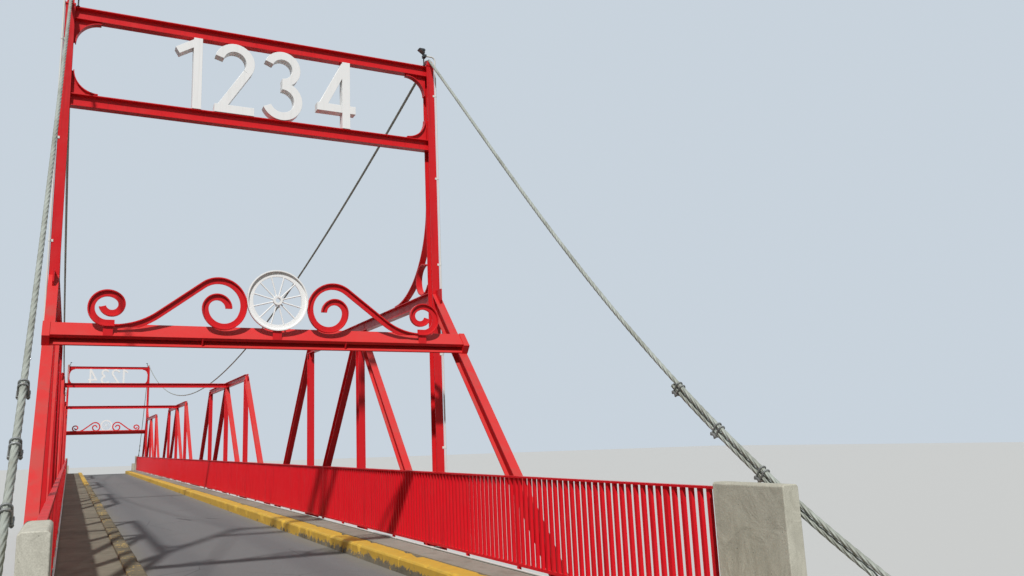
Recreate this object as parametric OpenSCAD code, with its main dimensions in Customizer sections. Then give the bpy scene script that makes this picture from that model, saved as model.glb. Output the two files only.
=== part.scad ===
// Steel road bridge with two portal towers, four truss spans and two main cables.
// This is a half-size model: every length is in millimetres of the model.
// +X runs across the road, +Y along it, +Z up. Z = 0 is the floor that the piers stand on.
// Levels named *_dz are heights above or below the foot of the railing.

/* [Spans] */
// Length of one truss panel
panel_l = 1755; // [1300:5:2200]
// Clear distance between the end nodes of two neighbouring spans
span_gap = 268; // [200:2:400]
// Distance between the two truss planes
truss_spacing = 2590; // [2400:10:3200]
// Height of the railing foot above the floor
rail_foot_z = 2000; // [1500:10:3200]

/* [Trusses] */
// Height from the bottom chord axis to the top chord axis
truss_rise = 2002; // [1500:1:2600]
// Depth of a rolled truss member
member_d = 85; // [60:1:110]
// Flange width of a rolled truss member
member_b = 60; // [44:1:80]
// Flange thickness of a rolled member
flange_t = 6; // [4:0.5:10]
// Web thickness of a rolled member
web_t = 5; // [3:0.5:8]
// Thickness of a gusset plate
gusset_t = 10; // [8:1:24]
// Level of the underside of the bottom chord
chord_foot_dz = -270; // [-340:1:-240]

/* [Towers] */
// Level of the top of the tower posts
tower_top_dz = 3633; // [3000:5:4400]
// Clear height between the two sign beams
sign_gap = 527; // [350:1:700]
// Leg length of the curved sign brackets
sign_bracket_r = 165; // [100:1:220]
// Radius of the curved bracket behind each tower
tower_bracket_r = 720; // [500:5:900]

/* [Portal ornament] */
// Level of the underside of the portal beam
portal_foot_dz = 1292; // [1200:1:1500]
// Width of the sloping fascia plate, measured up the slope
fascia_w = 124; // [90:1:180]
// Outer radius of the spoked wheel
wheel_r = 191; // [150:1:230]
// Radial width of the wheel rim
wheel_rim_w = 32; // [20:1:45]
// Number of wheel spokes
wheel_spokes = 12; // [6:1:18]
// Depth of the wheel and scroll bars along the road
ornament_d = 50; // [30:1:70]
// Width of the strip that closes each end of the portal beam
portal_strip_w = 40; // [20:1:60]
// Thickness of a scroll bar
scroll_t = 9; // [6:0.5:14]

/* [Cables] */
// Diameter of a main cable
cable_dia = 26; // [16:1:40]
// Clear height of a main cable over the top chords at mid-span
cable_clear = 90; // [40:5:400]
// Sag of a backstay
backstay_sag = 150; // [0:5:260]
// Distance from a tower to its cable anchor
backstay_run = 3800; // [3500:5:4600]

/* [Deck] */
// Thickness of the concrete slab
slab_t = 120; // [80:1:180]
// Thickness of the asphalt
road_t = 25; // [15:1:40]
// Road edge on the left
road_left = 675; // [500:5:800]
// Road edge on the right
road_right = 855; // [600:5:900]
// Width of the left kerb
kerb_left_w = 115; // [80:1:150]
// Width of the right kerb
kerb_right_w = 150; // [80:1:200]
// Depth of a cross girder
girder_d = 180; // [140:1:260]
// Depth of a stringer
stringer_d = 120; // [80:1:136]

/* [Railing] */
// Height of the railing
rail_h = 500; // [400:5:600]
// Width of one railing bar along the road
rail_bar_w = 17; // [12:0.5:24]
// Depth of one railing bar across the road
rail_t = 17.5; // [10:0.5:24]
// Pitch of the railing bars
rail_pitch = 53.5; // [45:0.5:80]
// Width of the wider railing posts
rail_post_w = 25; // [18:0.5:40]
// Number of bars from one railing post to the next
rail_post_every = 25; // [10:1:40]
// Length of a concrete pilaster
pilaster_l = 360; // [250:5:500]

/* [Conduits] */
// Diameter of the cable conduits of the lamps
conduit_dia = 12; // [8:0.5:20]

/* [Substructure] */
// Thickness of a pier wall
pier_t = 320; // [240:5:480]
// Width of a pier cap along the road
pier_cap_l = 560; // [500:5:760]

/* [Hidden] */

red = [0.80, 0.12, 0.13];
white = [0.93, 0.93, 0.91];
steel = [0.55, 0.57, 0.55];
concrete = [0.56, 0.54, 0.48];
yellow = [0.85, 0.68, 0.24];
asphalt = [0.33, 0.34, 0.35];

eps = 0.3; // clearance between pieces that are fitted together
n_spans = 4;
n_panels = 4;
span_l = n_panels * panel_l;
span_pitch = span_l + span_gap;
tower_y = 1.5 * span_pitch + span_l / 2 - panel_l;
truss_x = truss_spacing / 2;

deck_foot_z = rail_foot_z + chord_foot_dz; // underside of the chords and of the slab
bottom_axis_z = deck_foot_z + member_d / 2;
top_axis_z = bottom_axis_z + truss_rise;
tower_top_z = rail_foot_z + tower_top_dz;
cap_t = 12; // cap plate of a tower post
foot_plate_t = 8;

slab_top_z = deck_foot_z + slab_t;
road_top_z = slab_top_z + road_t;
ledge_top_z = rail_foot_z - 25;
walk_top_z = rail_foot_z - 50;
slab_half = truss_x - member_b / 2 - 20;
rail_x = slab_half - 25;
rail_cap_w = 30;
rail_cap_t = 10;

bearing_h = 50;
shelf_z = deck_foot_z - girder_d - bearing_h; // top of the piers and of the abutment shelves
girder_b = 90;
girder_web = 8;
girder_flange = 8;
girder_half = truss_x + 45;
stringer_step = 600;
stringer_b = 60;
stringer_web = 6;

backwall_gap = 140; // from the last truss joint to the back wall of the abutment
backwall_y = 1.5 * span_pitch + span_l / 2 + backwall_gap;
approach_l = 1410; // road carried by the abutment behind the back wall
abut_end_y = backwall_y + approach_l;
abut_half = truss_x + 165;
wing_t = 330;
wing_top_z = rail_foot_z - 150;
wing_back = 420; // wing wall behind the cable anchor
anchor_block_l = 620;
anchor_block_h = 380;
pilaster_t = 75;
rail_end_y = abut_end_y - pilaster_l;

// Truss node positions in the truss plane: [along the road, height]
function low(i) = [(i - n_panels / 2) * panel_l, bottom_axis_z];
function high(i) = [(i - n_panels / 2) * panel_l, top_axis_z];
function span_y(s) = (s - (n_spans - 1) / 2) * span_pitch;
function slope_of(p, q) = atan2(q[1] - p[1], q[0] - p[0]);

// Puts a child, drawn in the truss plane as [y, z], upright at x = 0 with a thickness t
module upright(t) {
    rotate([90, 0, 90]) linear_extrude(t, center = true) children();
}

// Repeats a child at the far end of the bridge, turned to face outwards
module far_end() {
    rotate([0, 0, 180]) children();
}

// Repeats a child on the other side of the road
module both_sides() {
    children();
    mirror([1, 0, 0]) children();
}

// Repeats a child at the far end, mirrored
module both_ends() {
    children();
    mirror([0, 1, 0]) children();
}

// Repeats a child at both ends and on both sides
module four_corners() {
    both_sides() both_ends() children();
}

/* Rolled members drawn in the truss plane */

// Side view of a member between two points: the full depth
module member_web(p, q, d = member_d) {
    translate(p) rotate(slope_of(p, q)) translate([0, -d / 2]) square([norm(q - p), d]);
}

// Side view of a member between two points: only its two flanges
module member_flanges(p, q, d = member_d) {
    translate(p) rotate(slope_of(p, q)) {
        for (side = [-d / 2, d / 2 - flange_t]) {
            translate([0, side]) square([norm(q - p), flange_t]);
        }
    }
}

// Horizontal rolled beam across the road, centred on x = 0
module cross_beam(len, d, b, web = web_t, flange = flange_t) {
    translate([-len / 2, 0, 0]) rotate([90, 0, 90]) linear_extrude(len) i_profile(d, b, web, flange);
}

module i_profile(d, b, web, flange) {
    square([web, d], center = true);
    for (side = [-1, 1]) translate([0, side * (d - flange) / 2]) square([b, flange], center = true);
}

/* Trusses */

// The lines of one truss: chords first, then end posts, posts and diagonals
function chord_lines() = [
    [low(0) - [member_d, 0], low(n_panels) + [member_d, 0]],
    [high(1) - [member_d / 2, 0], high(n_panels - 1) + [member_d / 2, 0]]
];
function end_post_lines() = [[low(0), high(1)], [high(n_panels - 1), low(n_panels)]];
function post_lines(first, last) = [for (i = [first:last]) [low(i), high(i)]];
function diagonal_lines() = [[low(1), high(2)], [high(2), low(3)]];

// Gusset plates: one on each truss joint, laid over the chord and reaching along the web members
gusset_l = 1.6 * member_d; // half length along the chord
gusset_edge = member_d / 2 - 0.5;
low_gusset_h = 1.3 * member_d;
top_gusset_h = 1.4 * member_d;

module gussets() {
    for (i = [0, n_panels]) translate(low(i)) end_gusset(i == 0 ? 1 : -1);
    for (i = [1:n_panels - 1]) {
        translate(low(i)) gusset(low_gusset_h);
        translate(high(i)) mirror([0, 1]) gusset(top_gusset_h);
    }
}

module gusset(h) {
    tip = gusset_l - 60;
    polygon([
        [-gusset_l, -gusset_edge], [gusset_l, -gusset_edge], [gusset_l, gusset_edge],
        [tip, h], [-tip, h], [-gusset_l, gusset_edge]
    ]);
}

module end_gusset(dir) {
    toe = 3 * member_d;
    scale([dir, 1]) polygon([
        [-member_d, -gusset_edge], [toe, -gusset_edge], [toe, gusset_edge],
        [toe - 110, low_gusset_h], [toe - 210, low_gusset_h], [-member_d, gusset_edge]
    ]);
}

// One truss. first_post and last_post leave out the posts that a tower replaces.
module truss(first_post = 1, last_post = 3) {
    posts = post_lines(first_post, last_post);
    chords = chord_lines();
    slanted = concat(end_post_lines(), diagonal_lines());
    upright(web_t) {
        for (l = concat(chords, posts, slanted)) member_web(l[0], l[1]);
    }
    upright(member_b) {
        for (l = chords) member_flanges(l[0], l[1]);
        difference() {
            union() for (l = concat(posts, slanted)) member_flanges(l[0], l[1]);
            for (l = chords) member_web(l[0], l[1]);
        }
    }
    upright(gusset_t) gussets();
}

module truss_at(side, s) {
    color(red) translate([side * truss_x, span_y(s), 0]) {
        difference() {
            truss(s == 0 ? 2 : 1, s == n_spans - 1 ? 2 : 3);
            if (s == 0) tower_slot(-1);
            if (s == n_spans - 1) tower_slot(1);
        }
    }
}

// Room for the tower post through the truss joint, above the bottom chord
module tower_slot(dir) {
    y = dir * (n_panels / 2 - 1) * panel_l;
    z0 = bottom_axis_z + member_d / 2;
    h = truss_rise + member_d;
    translate([0, y, z0 + h / 2]) cube([2 * member_b, member_d + 2 * eps, h], center = true);
}

/* Towers */

// A tower post: a rolled member from the bottom chord up, with a cap plate
module tower_post() {
    z0 = bottom_axis_z + member_d / 2 + eps;
    h = tower_top_z - z0;
    translate([0, 0, z0]) linear_extrude(h) i_profile(member_d, member_b, web_t, flange_t);
    translate([0, 0, tower_top_z - cap_t / 2]) cube([member_b + 4, member_d + 10, cap_t], center = true);
    translate([0, 0, z0 + foot_plate_t / 2]) cube([member_b + 10, member_d, foot_plate_t], center = true);
}

module tower_at(side, end) {
    color(red) translate([side * truss_x, end * tower_y, 0]) tower_post();
}

/* Sign frame */

sign_top_z = tower_top_z - cap_t - eps - member_d / 2; // the beam lies just under the cap plate
sign_low_z = sign_top_z - member_d - sign_gap;
sign_half = truss_x - web_t / 2 - eps;

// Curved corner bracket in its corner: legs along +x and +y, hollow side a quarter circle.
// Its curved flange stops at the leg ends as a small tab that stands off the beam.
module corner_bracket(r, depth, plate) {
    hollow_r = r - 2.5 * flange_t;
    rotate([90, 0, 0]) {
        linear_extrude(plate, center = true) difference() {
            square(r);
            translate([r, r]) circle(hollow_r + flange_t / 2, $fn = 96);
        }
        linear_extrude(depth, center = true) intersection() {
            square(r);
            translate([r, r]) difference() {
                circle(hollow_r + flange_t, $fn = 96);
                circle(hollow_r, $fn = 96);
            }
        }
    }
}

module sign_frame() {
    color(red) translate([0, -tower_y, 0]) {
        for (z = [sign_low_z, sign_top_z]) {
            translate([0, 0, z]) cross_beam(2 * sign_half, member_d, member_b);
        }
        inner = truss_x - member_b / 2 - eps;
        both_sides() {
            translate([-inner, 0, sign_low_z + member_d / 2]) corner_bracket(sign_bracket_r, 46, 8);
            translate([-inner, 0, sign_top_z - member_d / 2]) mirror([0, 0, 1])
                corner_bracket(sign_bracket_r, 46, 8);
        }
    }
}

/* Portal beam, wheel and scrolls */

post_slope = atan2(truss_rise, panel_l);
portal_z = rail_foot_z + portal_foot_dz;
portal_half = truss_x + 45;
portal_web_h = 66;

// Position along the road of the front face of the inclined end post at height z
function end_post_front(z) =
    -tower_y - panel_l + (z - bottom_axis_z) / tan(post_slope) - member_d / 2 / sin(post_slope) - eps;

portal_back_y = end_post_front(portal_z);
portal_lip_y = portal_back_y - 62;

// Section of the portal beam as [y, z]: bottom flange, web, top ledge and sloping fascia
module portal_section() {
    z1 = portal_z + 14 + portal_web_h;
    back = end_post_front(z1);
    translate([portal_lip_y, portal_z]) square([portal_back_y - portal_lip_y, 14]);
    polygon([
        [portal_back_y - 10, portal_z], [portal_back_y, portal_z],
        [back, z1 + 8], [back - 10, z1 + 8]
    ]);
    translate([portal_lip_y, z1]) square([back - portal_lip_y, 8]);
    translate([back, z1]) rotate(post_slope) square([fascia_w, 10]);
}

module portal_beam() {
    color(red) {
        translate([-portal_half, 0, 0]) rotate([90, 0, 90]) linear_extrude(2 * portal_half) portal_section();
        both_sides() {
            translate([450, 0, 0]) upright(8) portal_rib();
            translate([portal_half - portal_strip_w / 2, 0, 0]) upright(portal_strip_w) {
                portal_rib();
                portal_end_strip();
            }
        }
    }
}

// Stiffener between the bottom flange and the top ledge, as [y, z]
module portal_rib() {
    top = portal_z + 14 + portal_web_h;
    polygon([
        [portal_lip_y, portal_z], [portal_back_y, portal_z],
        [end_post_front(top), top + 1], [portal_lip_y, top + 1]
    ]);
}

// Strip that stands proud of the fascia and folds down over the lip
module portal_end_strip() {
    proud = 8;
    foot = portal_z + 14 + portal_web_h;
    across = [-sin(post_slope), cos(post_slope)];
    along = [cos(post_slope), sin(post_slope)];
    back = [end_post_front(foot), foot];
    polygon([
        [portal_lip_y - proud, portal_z], [portal_lip_y + 6, portal_z],
        [portal_lip_y + 6, foot], back, back + fascia_w * along,
        back + fascia_w * along + (10 + proud) * across,
        back + 24 * along + (10 + proud) * across,
        [portal_lip_y - proud, foot + 8 + proud]
    ]);
}

ornament_foot_z = portal_z + 14 + portal_web_h + 8;
ornament_y = portal_lip_y + ornament_d / 2 + 2;
wheel_z = ornament_foot_z + 42 + wheel_r;
scroll_axis_z = wheel_z - 72;

module wheel() {
    hub_r = 25;
    spoke_r = 4;
    color(white) translate([0, ornament_y, wheel_z]) rotate([90, 0, 0]) {
        rotate_extrude($fn = 128) translate([wheel_r - wheel_rim_w, -ornament_d / 2]) {
            square([8, ornament_d]);
            translate([wheel_rim_w - 6, 0]) square([6, ornament_d]);
            square([wheel_rim_w, 8]);
        }
        rotate_extrude($fn = 64) translate([hub_r - 9, -ornament_d / 2]) square([9, ornament_d]);
        for (i = [0:wheel_spokes - 1]) rotate((i + 0.5) * 360 / wheel_spokes) {
            translate([hub_r - 4, 0, 0]) rotate([0, 90, 0])
                cylinder(r = spoke_r, h = wheel_r - wheel_rim_w - hub_r + 8, $fn = 24);
        }
    }
}

// A scroll bar drawn as a run of tangent arcs and straights, each given as
// [radius, angle]: a positive angle turns left, and radius 0 with a length goes straight.
scroll_run = [
    [82, -180], [133, -180], [187, -130], [0, 265], [410, 40], [102, 270], [67, 180]
];

module scroll_bar(run, i = 0) {
    if (i < len(run)) {
        r = run[i][0];
        a = run[i][1];
        if (r == 0) {
            translate([0, -scroll_t / 2, -ornament_d / 2]) cube([a, scroll_t, ornament_d]);
            translate([a, 0, 0]) scroll_bar(run, i + 1);
        } else {
            side = a > 0 ? 1 : -1;
            translate([0, side * r, 0]) {
                rotate(a > 0 ? -90 : 90 + a) rotate_extrude(angle = abs(a), $fn = 96)
                    translate([r - scroll_t / 2, -ornament_d / 2]) square([scroll_t, ornament_d]);
                rotate(a) translate([0, -side * r, 0]) scroll_bar(run, i + 1);
            }
        }
    }
}

module scrolls() {
    color(red) both_sides() {
        translate([320, ornament_y, scroll_axis_z]) rotate([90, -90, 0]) scroll_bar(scroll_run);
        translate([995, ornament_y, ornament_foot_z + 20]) cube([64, 12, 40], center = true);
    }
    color(red) translate([0, ornament_y, ornament_foot_z + 21]) cube([56, 12, 42], center = true);
}

/* Curved brackets behind the towers */

module tower_bracket() {
    chord_top = top_axis_z + member_d / 2 + eps;
    back = member_d / 2 + eps;
    translate([truss_x, -tower_y, chord_top]) {
        rotate([90, 0, 90]) linear_extrude(member_b - 10, center = true) intersection() {
            translate([back, 0]) square(tower_bracket_r);
            translate([back + tower_bracket_r, tower_bracket_r]) difference() {
                circle(tower_bracket_r, $fn = 180);
                circle(tower_bracket_r - 10, $fn = 180);
            }
        }
        // A ring that just meets the chord and the curved bar, open towards the post
        ring_r = tower_bracket_r * (sqrt(2) - 1) / (sqrt(2) + 1) - eps;
        rotate([90, 0, 90]) translate([back + ring_r, ring_r, 0]) rotate(210)
            rotate_extrude(angle = 270, $fn = 96)
                translate([ring_r - 9, -ornament_d / 2]) square([9, ornament_d]);
    }
}

/* Cables */

cable_r = cable_dia / 2;
saddle_r = 36;
saddle_w = 44;
saddle_cheek = 10;
saddle_t = 6;
wrap_r = saddle_r + cable_r + 0.6;
cable_low_z = top_axis_z + member_d / 2 + cable_clear + cable_r;
main_angle = 90 - atan(2 * (tower_top_z + wrap_r - cable_low_z) / tower_y);
anchor_y = tower_y + backstay_run;
anchor_z = rail_foot_z + 60;
thimble_r = 26;
turn_r = thimble_r + cable_r + 0.6;
rope_gap = 3; // web of a clip between the cable and its returned tail
loop_l = 320; // from the anchor pin to where the two ropes meet
stay_steps = 16;
tail_steps = 4;

// Slopes of the backstay at its two ends, with its sag
stay_chord = atan((tower_top_z - anchor_z) / backstay_run);
stay_bend = atan(4 * backstay_sag / norm([backstay_run, tower_top_z - anchor_z]));
stay_slope = stay_chord + stay_bend;
foot_slope = stay_chord - stay_bend;

function on_circle(c, r, a) = c + r * [cos(a), sin(a)];
function sagging(p, q, sag, n) = [
    for (i = [0:n]) let (t = i / n) p + (q - p) * t - [0, 4 * sag * t * (1 - t)]
];

// Half of the route, from the tail over the near tower to mid-span, as [y, z]
saddle_c = [-tower_y, tower_top_z + eps];
anchor_c = [-anchor_y, anchor_z];
main_top = on_circle(saddle_c, wrap_r, main_angle);
stay_top = on_circle(saddle_c, wrap_r, 90 + stay_slope);
foot_dir = [cos(foot_slope), sin(foot_slope)];
foot_side = [-sin(foot_slope), cos(foot_slope)];
stay_low = anchor_c + loop_l * foot_dir + (cable_r + rope_gap / 2) * foot_side;
stay = sagging(stay_low, stay_top, backstay_sag, stay_steps);
rope_below = -(cable_dia + rope_gap) * foot_side;
loop_spread = atan((turn_r - cable_r) / loop_l);
loop_turn = 180 + 2 * loop_spread;
saddle_turn = 90 + stay_slope - main_angle;
function half_route() = concat(
    [for (i = [tail_steps:-1:0]) stay[i] + rope_below],
    [for (i = [0:8]) on_circle(anchor_c, turn_r, foot_slope - 90 + loop_spread - i / 8 * loop_turn)],
    [for (i = [0:stay_steps - 1]) stay[i]],
    [for (i = [0:6]) on_circle(saddle_c, wrap_r, 90 + stay_slope - i / 6 * saddle_turn)],
    [for (i = [1:14]) let (y = -tower_y * (1 - i / 14)) [
        y, cable_low_z + (main_top[1] - cable_low_z) * pow(y / tower_y, 2)
    ]]
);
function mirrored(route) = [for (i = [len(route) - 2:-1:0]) [-route[i][0], route[i][1]]];

// Unit normal of a route at point i, in the plane of the route
function route_normal(p, i) = let (
    a = p[max(i - 1, 0)],
    b = p[min(i + 1, len(p) - 1)],
    d = (b - a) / norm(b - a)
) [-d[1], d[0]];

// A tube of n sides along a route that lies in a plane of constant x
module tube_along(p, r, n = 10) {
    rings = [
        for (i = [0:len(p) - 1]) for (k = [0:n - 1])
            let (q = p[i] + r * sin(360 * k / n) * route_normal(p, i)) [r * cos(360 * k / n), q[0], q[1]]
    ];
    last = (len(p) - 1) * n;
    polyhedron(rings, concat(
        [[for (k = [0:n - 1]) k]],
        [for (i = [0:len(p) - 2]) for (k = [0:n - 1])
            let (a = i * n + k, b = i * n + (k + 1) % n) [a, a + n, b + n, b]],
        [[for (k = [n - 1:-1:0]) last + k]]
    ));
}

module cable(side) {
    route = concat(half_route(), mirrored(half_route()));
    color(steel) translate([side * truss_x, 0, 0]) tube_along(route, cable_r);
}

// Half drum that carries a cable over the tower in a groove, with a cheek on each side
module saddle() {
    cheek_r = saddle_r + saddle_cheek;
    translate([truss_x, -tower_y, tower_top_z + eps]) intersection() {
        translate([0, 0, cheek_r]) cube(2 * cheek_r, center = true);
        rotate([0, 90, 0]) {
            rotate_extrude($fn = 96) difference() {
                translate([0, -saddle_w / 2]) square([saddle_r + saddle_cheek / 2, saddle_w]);
                translate([wrap_r, 0]) circle(cable_r + 0.6, $fn = 48);
            }
            for (side = [-1, 1]) translate([0, 0, side * (saddle_w - saddle_t) / 2])
                cylinder(r = cheek_r, h = saddle_t, center = true, $fn = 96);
        }
    }
}

// A cable clip that grips the cable and its returned tail at a joint of the backstay
module clamp_at(i) {
    p = stay[i] + rope_below / 2;
    d = stay[i + 1] - stay[i - 1];
    translate([truss_x, p[0], p[1]]) rotate([atan2(d[1], d[0]), 0, 0]) difference() {
        cube([cable_dia + 26, 44, 2 * cable_dia + 22], center = true);
        for (side = [-1, 1]) translate([0, 0, side * (cable_dia + rope_gap) / 2]) rotate([90, 0, 0])
            cylinder(r = cable_r + eps, h = 60, center = true, $fn = 48);
    }
}

// Clevis, pin and thimble that hold the foot of a cable
anchor_back_y = 150; // from the pin back to the middle of the bearing plate
anchor_plate_t = 14;
clevis_t = 12;
clevis_l = 190;

module anchor_eye() {
    cheek_y = clevis_l / 2 - anchor_back_y - anchor_plate_t / 2;
    translate([truss_x, -anchor_y, anchor_z]) rotate([foot_slope, 0, 0]) {
        rotate([0, 90, 0]) cylinder(r = thimble_r, h = cable_dia + 8, center = true, $fn = 64);
        rotate([0, 90, 0]) cylinder(r = 14, h = cable_dia + 60, center = true, $fn = 48);
        for (side = [-1, 1]) translate([side * (cable_dia / 2 + 14), cheek_y, 0])
            cube([clevis_t, clevis_l, 50], center = true);
        translate([0, -anchor_back_y, 0]) cube([cable_dia + 90, anchor_plate_t, 130], center = true);
    }
}

module anchor_block() {
    l = anchor_block_l;
    front = -anchor_back_y - anchor_plate_t / 2 - eps;
    translate([truss_x, -anchor_y, 0]) difference() {
        translate([-wing_t / 2, -wing_back, wing_top_z]) cube([wing_t, l, anchor_block_h]);
        translate([0, 0, anchor_z]) rotate([foot_slope, 0, 0])
            translate([-wing_t, front, -l]) cube([2 * wing_t, l, 2 * l]);
    }
}

/* Railing */

rail_n = 3; // panels on each side
rail_low_bar = 16;
rail_first_post = 6; // bars from the pilaster to the first post
rail_foot_w = 20;

module railing(side, i) {
    l = 2 * rail_end_y / rail_n;
    bars = floor((l - 2 * rail_bar_w) / rail_pitch);
    pitch = (l - rail_bar_w - eps) / bars;
    wrapped = (rail_first_post - i * bars) % rail_post_every;
    first = wrapped < 0 ? wrapped + rail_post_every : wrapped; // first post of this panel
    half = rail_post_every / 2;
    foot = side > 0 ? ledge_top_z : walk_top_z;
    foot_h = rail_foot_z - foot + 1;
    cap_z = rail_foot_z + rail_h - rail_cap_t;
    color(red) translate([side * rail_x, -rail_end_y + i * l + eps / 2, 0]) {
        upright(rail_t) {
            translate([0, rail_foot_z]) square([l - eps, rail_low_bar]);
            for (k = [0:bars]) translate([k * pitch, rail_foot_z]) square([rail_bar_w, rail_h - rail_cap_t]);
            for (k = [first:rail_post_every:bars]) {
                translate([k * pitch - (rail_post_w - rail_bar_w) / 2, rail_foot_z])
                    square([rail_post_w, rail_h - rail_cap_t]);
            }
            for (k = [0, bars]) translate([k * pitch, foot]) square([rail_bar_w, foot_h]);
            for (k = [first - half * floor(first / half):half:bars]) if (k > 1 && k < bars - 1)
                translate([k * pitch - (rail_foot_w - rail_bar_w) / 2, foot]) square([rail_foot_w, foot_h]);
        }
        translate([-rail_cap_w / 2, 0, cap_z]) cube([rail_cap_w, l - eps, rail_cap_t]);
    }
}

// A concrete pilaster from foot up, with a chamfer along both of its top edges
module pilaster(foot) {
    h = rail_foot_z + rail_h + 20 - foot;
    half = pilaster_t / 2;
    edge = 8;
    translate([rail_x, -abut_end_y + pilaster_l - eps, foot]) rotate([90, 0, 0])
        linear_extrude(pilaster_l - eps) polygon([
            [-half, 0], [half, 0], [half, h - edge], [half - edge, h], [edge - half, h], [-half, h - edge]
        ]);
}

module pilasters() {
    color(concrete) both_ends() {
        pilaster(ledge_top_z);
        mirror([1, 0, 0]) pilaster(walk_top_z);
    }
}

/* Deck */

module strip(x0, x1, z0, z1) {
    translate([x0, -abut_end_y, z0]) cube([x1 - x0, 2 * abut_end_y, z1 - z0]);
}

module deck_slab() {
    color(concrete) translate([-slab_half, -backwall_y + eps, deck_foot_z])
        cube([2 * slab_half, 2 * (backwall_y - eps), slab_t]);
}

module road_surface() {
    color(asphalt) strip(-road_left, road_right, slab_top_z, road_top_z);
}

// Kerb with a chamfer along its road side. dir is the side of the road that it stands on.
module kerb(dir, x, w) {
    h = ledge_top_z - slab_top_z;
    edge = 16;
    color(yellow) translate([x, abut_end_y, slab_top_z]) rotate([90, 0, 0])
        linear_extrude(2 * abut_end_y) scale([dir, 1])
            polygon([[0, 0], [w, 0], [w, h], [edge, h], [0, h - edge]]);
}

module kerb_left() {
    kerb(-1, -road_left, kerb_left_w);
}

module kerb_right() {
    kerb(1, road_right, kerb_right_w);
}

module sidewalk() {
    color(concrete) strip(-slab_half, -road_left - kerb_left_w, slab_top_z, walk_top_z);
}

module ledge() {
    color(concrete) strip(road_right + kerb_right_w, slab_half, slab_top_z, ledge_top_z);
}

module cross_girders() {
    color(red) for (s = [0:n_spans - 1]) for (i = [0:n_panels]) {
        translate([0, span_y(s) + low(i)[0], deck_foot_z - girder_d / 2])
            cross_beam(2 * girder_half, girder_d, girder_b, girder_web, girder_flange);
    }
}

// Stringers between the cross girders: the web runs on past the flanges to the girder webs
module stringers() {
    foot = deck_foot_z - stringer_d;
    clear = girder_b / 2 + 1;
    end = girder_web / 2 + eps;
    color(red) for (s = [0:n_spans - 1]) for (i = [0:n_panels - 1]) for (line = [-1.5:1.5]) {
        translate([line * stringer_step, span_y(s) + low(i)[0], 0]) {
            for (z = [foot, deck_foot_z - flange_t]) translate([-stringer_b / 2, clear, z])
                cube([stringer_b, panel_l - 2 * clear, flange_t]);
            translate([-stringer_web / 2, clear, foot]) cube([stringer_web, panel_l - 2 * clear, stringer_d]);
            translate([-stringer_web / 2, end, foot + 1])
                cube([stringer_web, panel_l - 2 * end, stringer_d - girder_flange - 2]);
        }
    }
}

module bearings() {
    color(steel) for (s = [0:n_spans - 1]) for (i = [0, n_panels]) both_sides() {
        translate([truss_x, span_y(s) + low(i)[0], shelf_z]) {
            translate([-50, -45, 0]) cube([100, 90, 12]);
            translate([-36, -36, 12]) cube([72, 72, 26]);
            translate([-45, -42, 38]) cube([90, 84, bearing_h - 38]);
        }
    }
}

/* Substructure */

module pier() {
    cap_h = 180;
    cap_half = truss_x + 150;
    wall_half = cap_half - pier_t / 2 - 30;
    footing_h = 140;
    footing_l = pier_cap_l + 80;
    wall_h = shelf_z - cap_h;
    color(concrete) {
        translate([-cap_half, -pier_cap_l / 2, wall_h]) cube([2 * cap_half, pier_cap_l, cap_h]);
        translate([-wall_half, -pier_t / 2, 0]) cube([2 * wall_half, pier_t, wall_h]);
        for (side = [-1, 1]) translate([side * wall_half, 0, 0]) cylinder(d = pier_t, h = wall_h, $fn = 72);
        translate([-cap_half, -footing_l / 2, 0]) cube([2 * cap_half, footing_l, footing_h]);
    }
}

// Abutment: a mass of concrete with a bearing shelf in front, and a wing wall under each anchor
module abutment() {
    shelf_l = 330;
    batter = 160;
    front = backwall_y - shelf_l;
    color(concrete) {
        upright(2 * abut_half) polygon([
            [-front + batter, 0], [-front, shelf_z], [-backwall_y, shelf_z], [-backwall_y, slab_top_z],
            [-abut_end_y, slab_top_z], [-abut_end_y, 0]
        ]);
        both_sides() translate([truss_x - wing_t / 2, -anchor_y - wing_back, 0])
            cube([wing_t, anchor_y + wing_back - abut_end_y + 1, wing_top_z]);
    }
}

/* Small fittings */

lamp_h = 130;
lamp_off = member_b / 2 + 16; // from the truss plane to the lamp rod
conduit_r = conduit_dia / 2;
collar_r = conduit_r + 1.5; // collars hold the conduit off the surface that it runs along
conduit_x = rail_x - rail_t / 2 - 0.5 - collar_r;
conduit_y = -tower_y - member_d / 2 - collar_r - eps; // in front of the post
conduit_top_z = tower_top_z + saddle_r + cable_dia;
lamp_y = -tower_y - member_b / 2 + 4;
box_w = 24; // small joint box where the conduit meets the lamp rod
box_l = lamp_y - conduit_y + 16;

// A flood lamp on a rod that stands on the upper sign beam, with its glass turned down and inwards
module lamp() {
    foot = tower_top_z - cap_t;
    head_y = 52;
    translate([truss_x - lamp_off, lamp_y, foot]) {
        cylinder(r = 5, h = lamp_h + 14, $fn = 24);
        cylinder(r = 11, h = 5, $fn = 36);
        translate([0, 0, lamp_h]) rotate([90, 0, 0]) linear_extrude(head_y, center = true) polygon([
            [-6, -40], [-4, -46], [2, -46], [5, 6], [2, 10], [-60, 10], [-64, 6], [-62, 1]
        ]);
    }
    translate([truss_x - lamp_off, (lamp_y + conduit_y) / 2, conduit_top_z])
        cube([box_w, box_l, 20], center = true);
}

// A quarter bend of conduit from +x up to +z, that starts at the origin
module conduit_bend(r) {
    translate([0, 0, r]) rotate([90, 0, 0]) rotate(-90)
        rotate_extrude(angle = 90, $fn = 72) translate([r, 0]) circle(conduit_r, $fn = 24);
}

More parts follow.
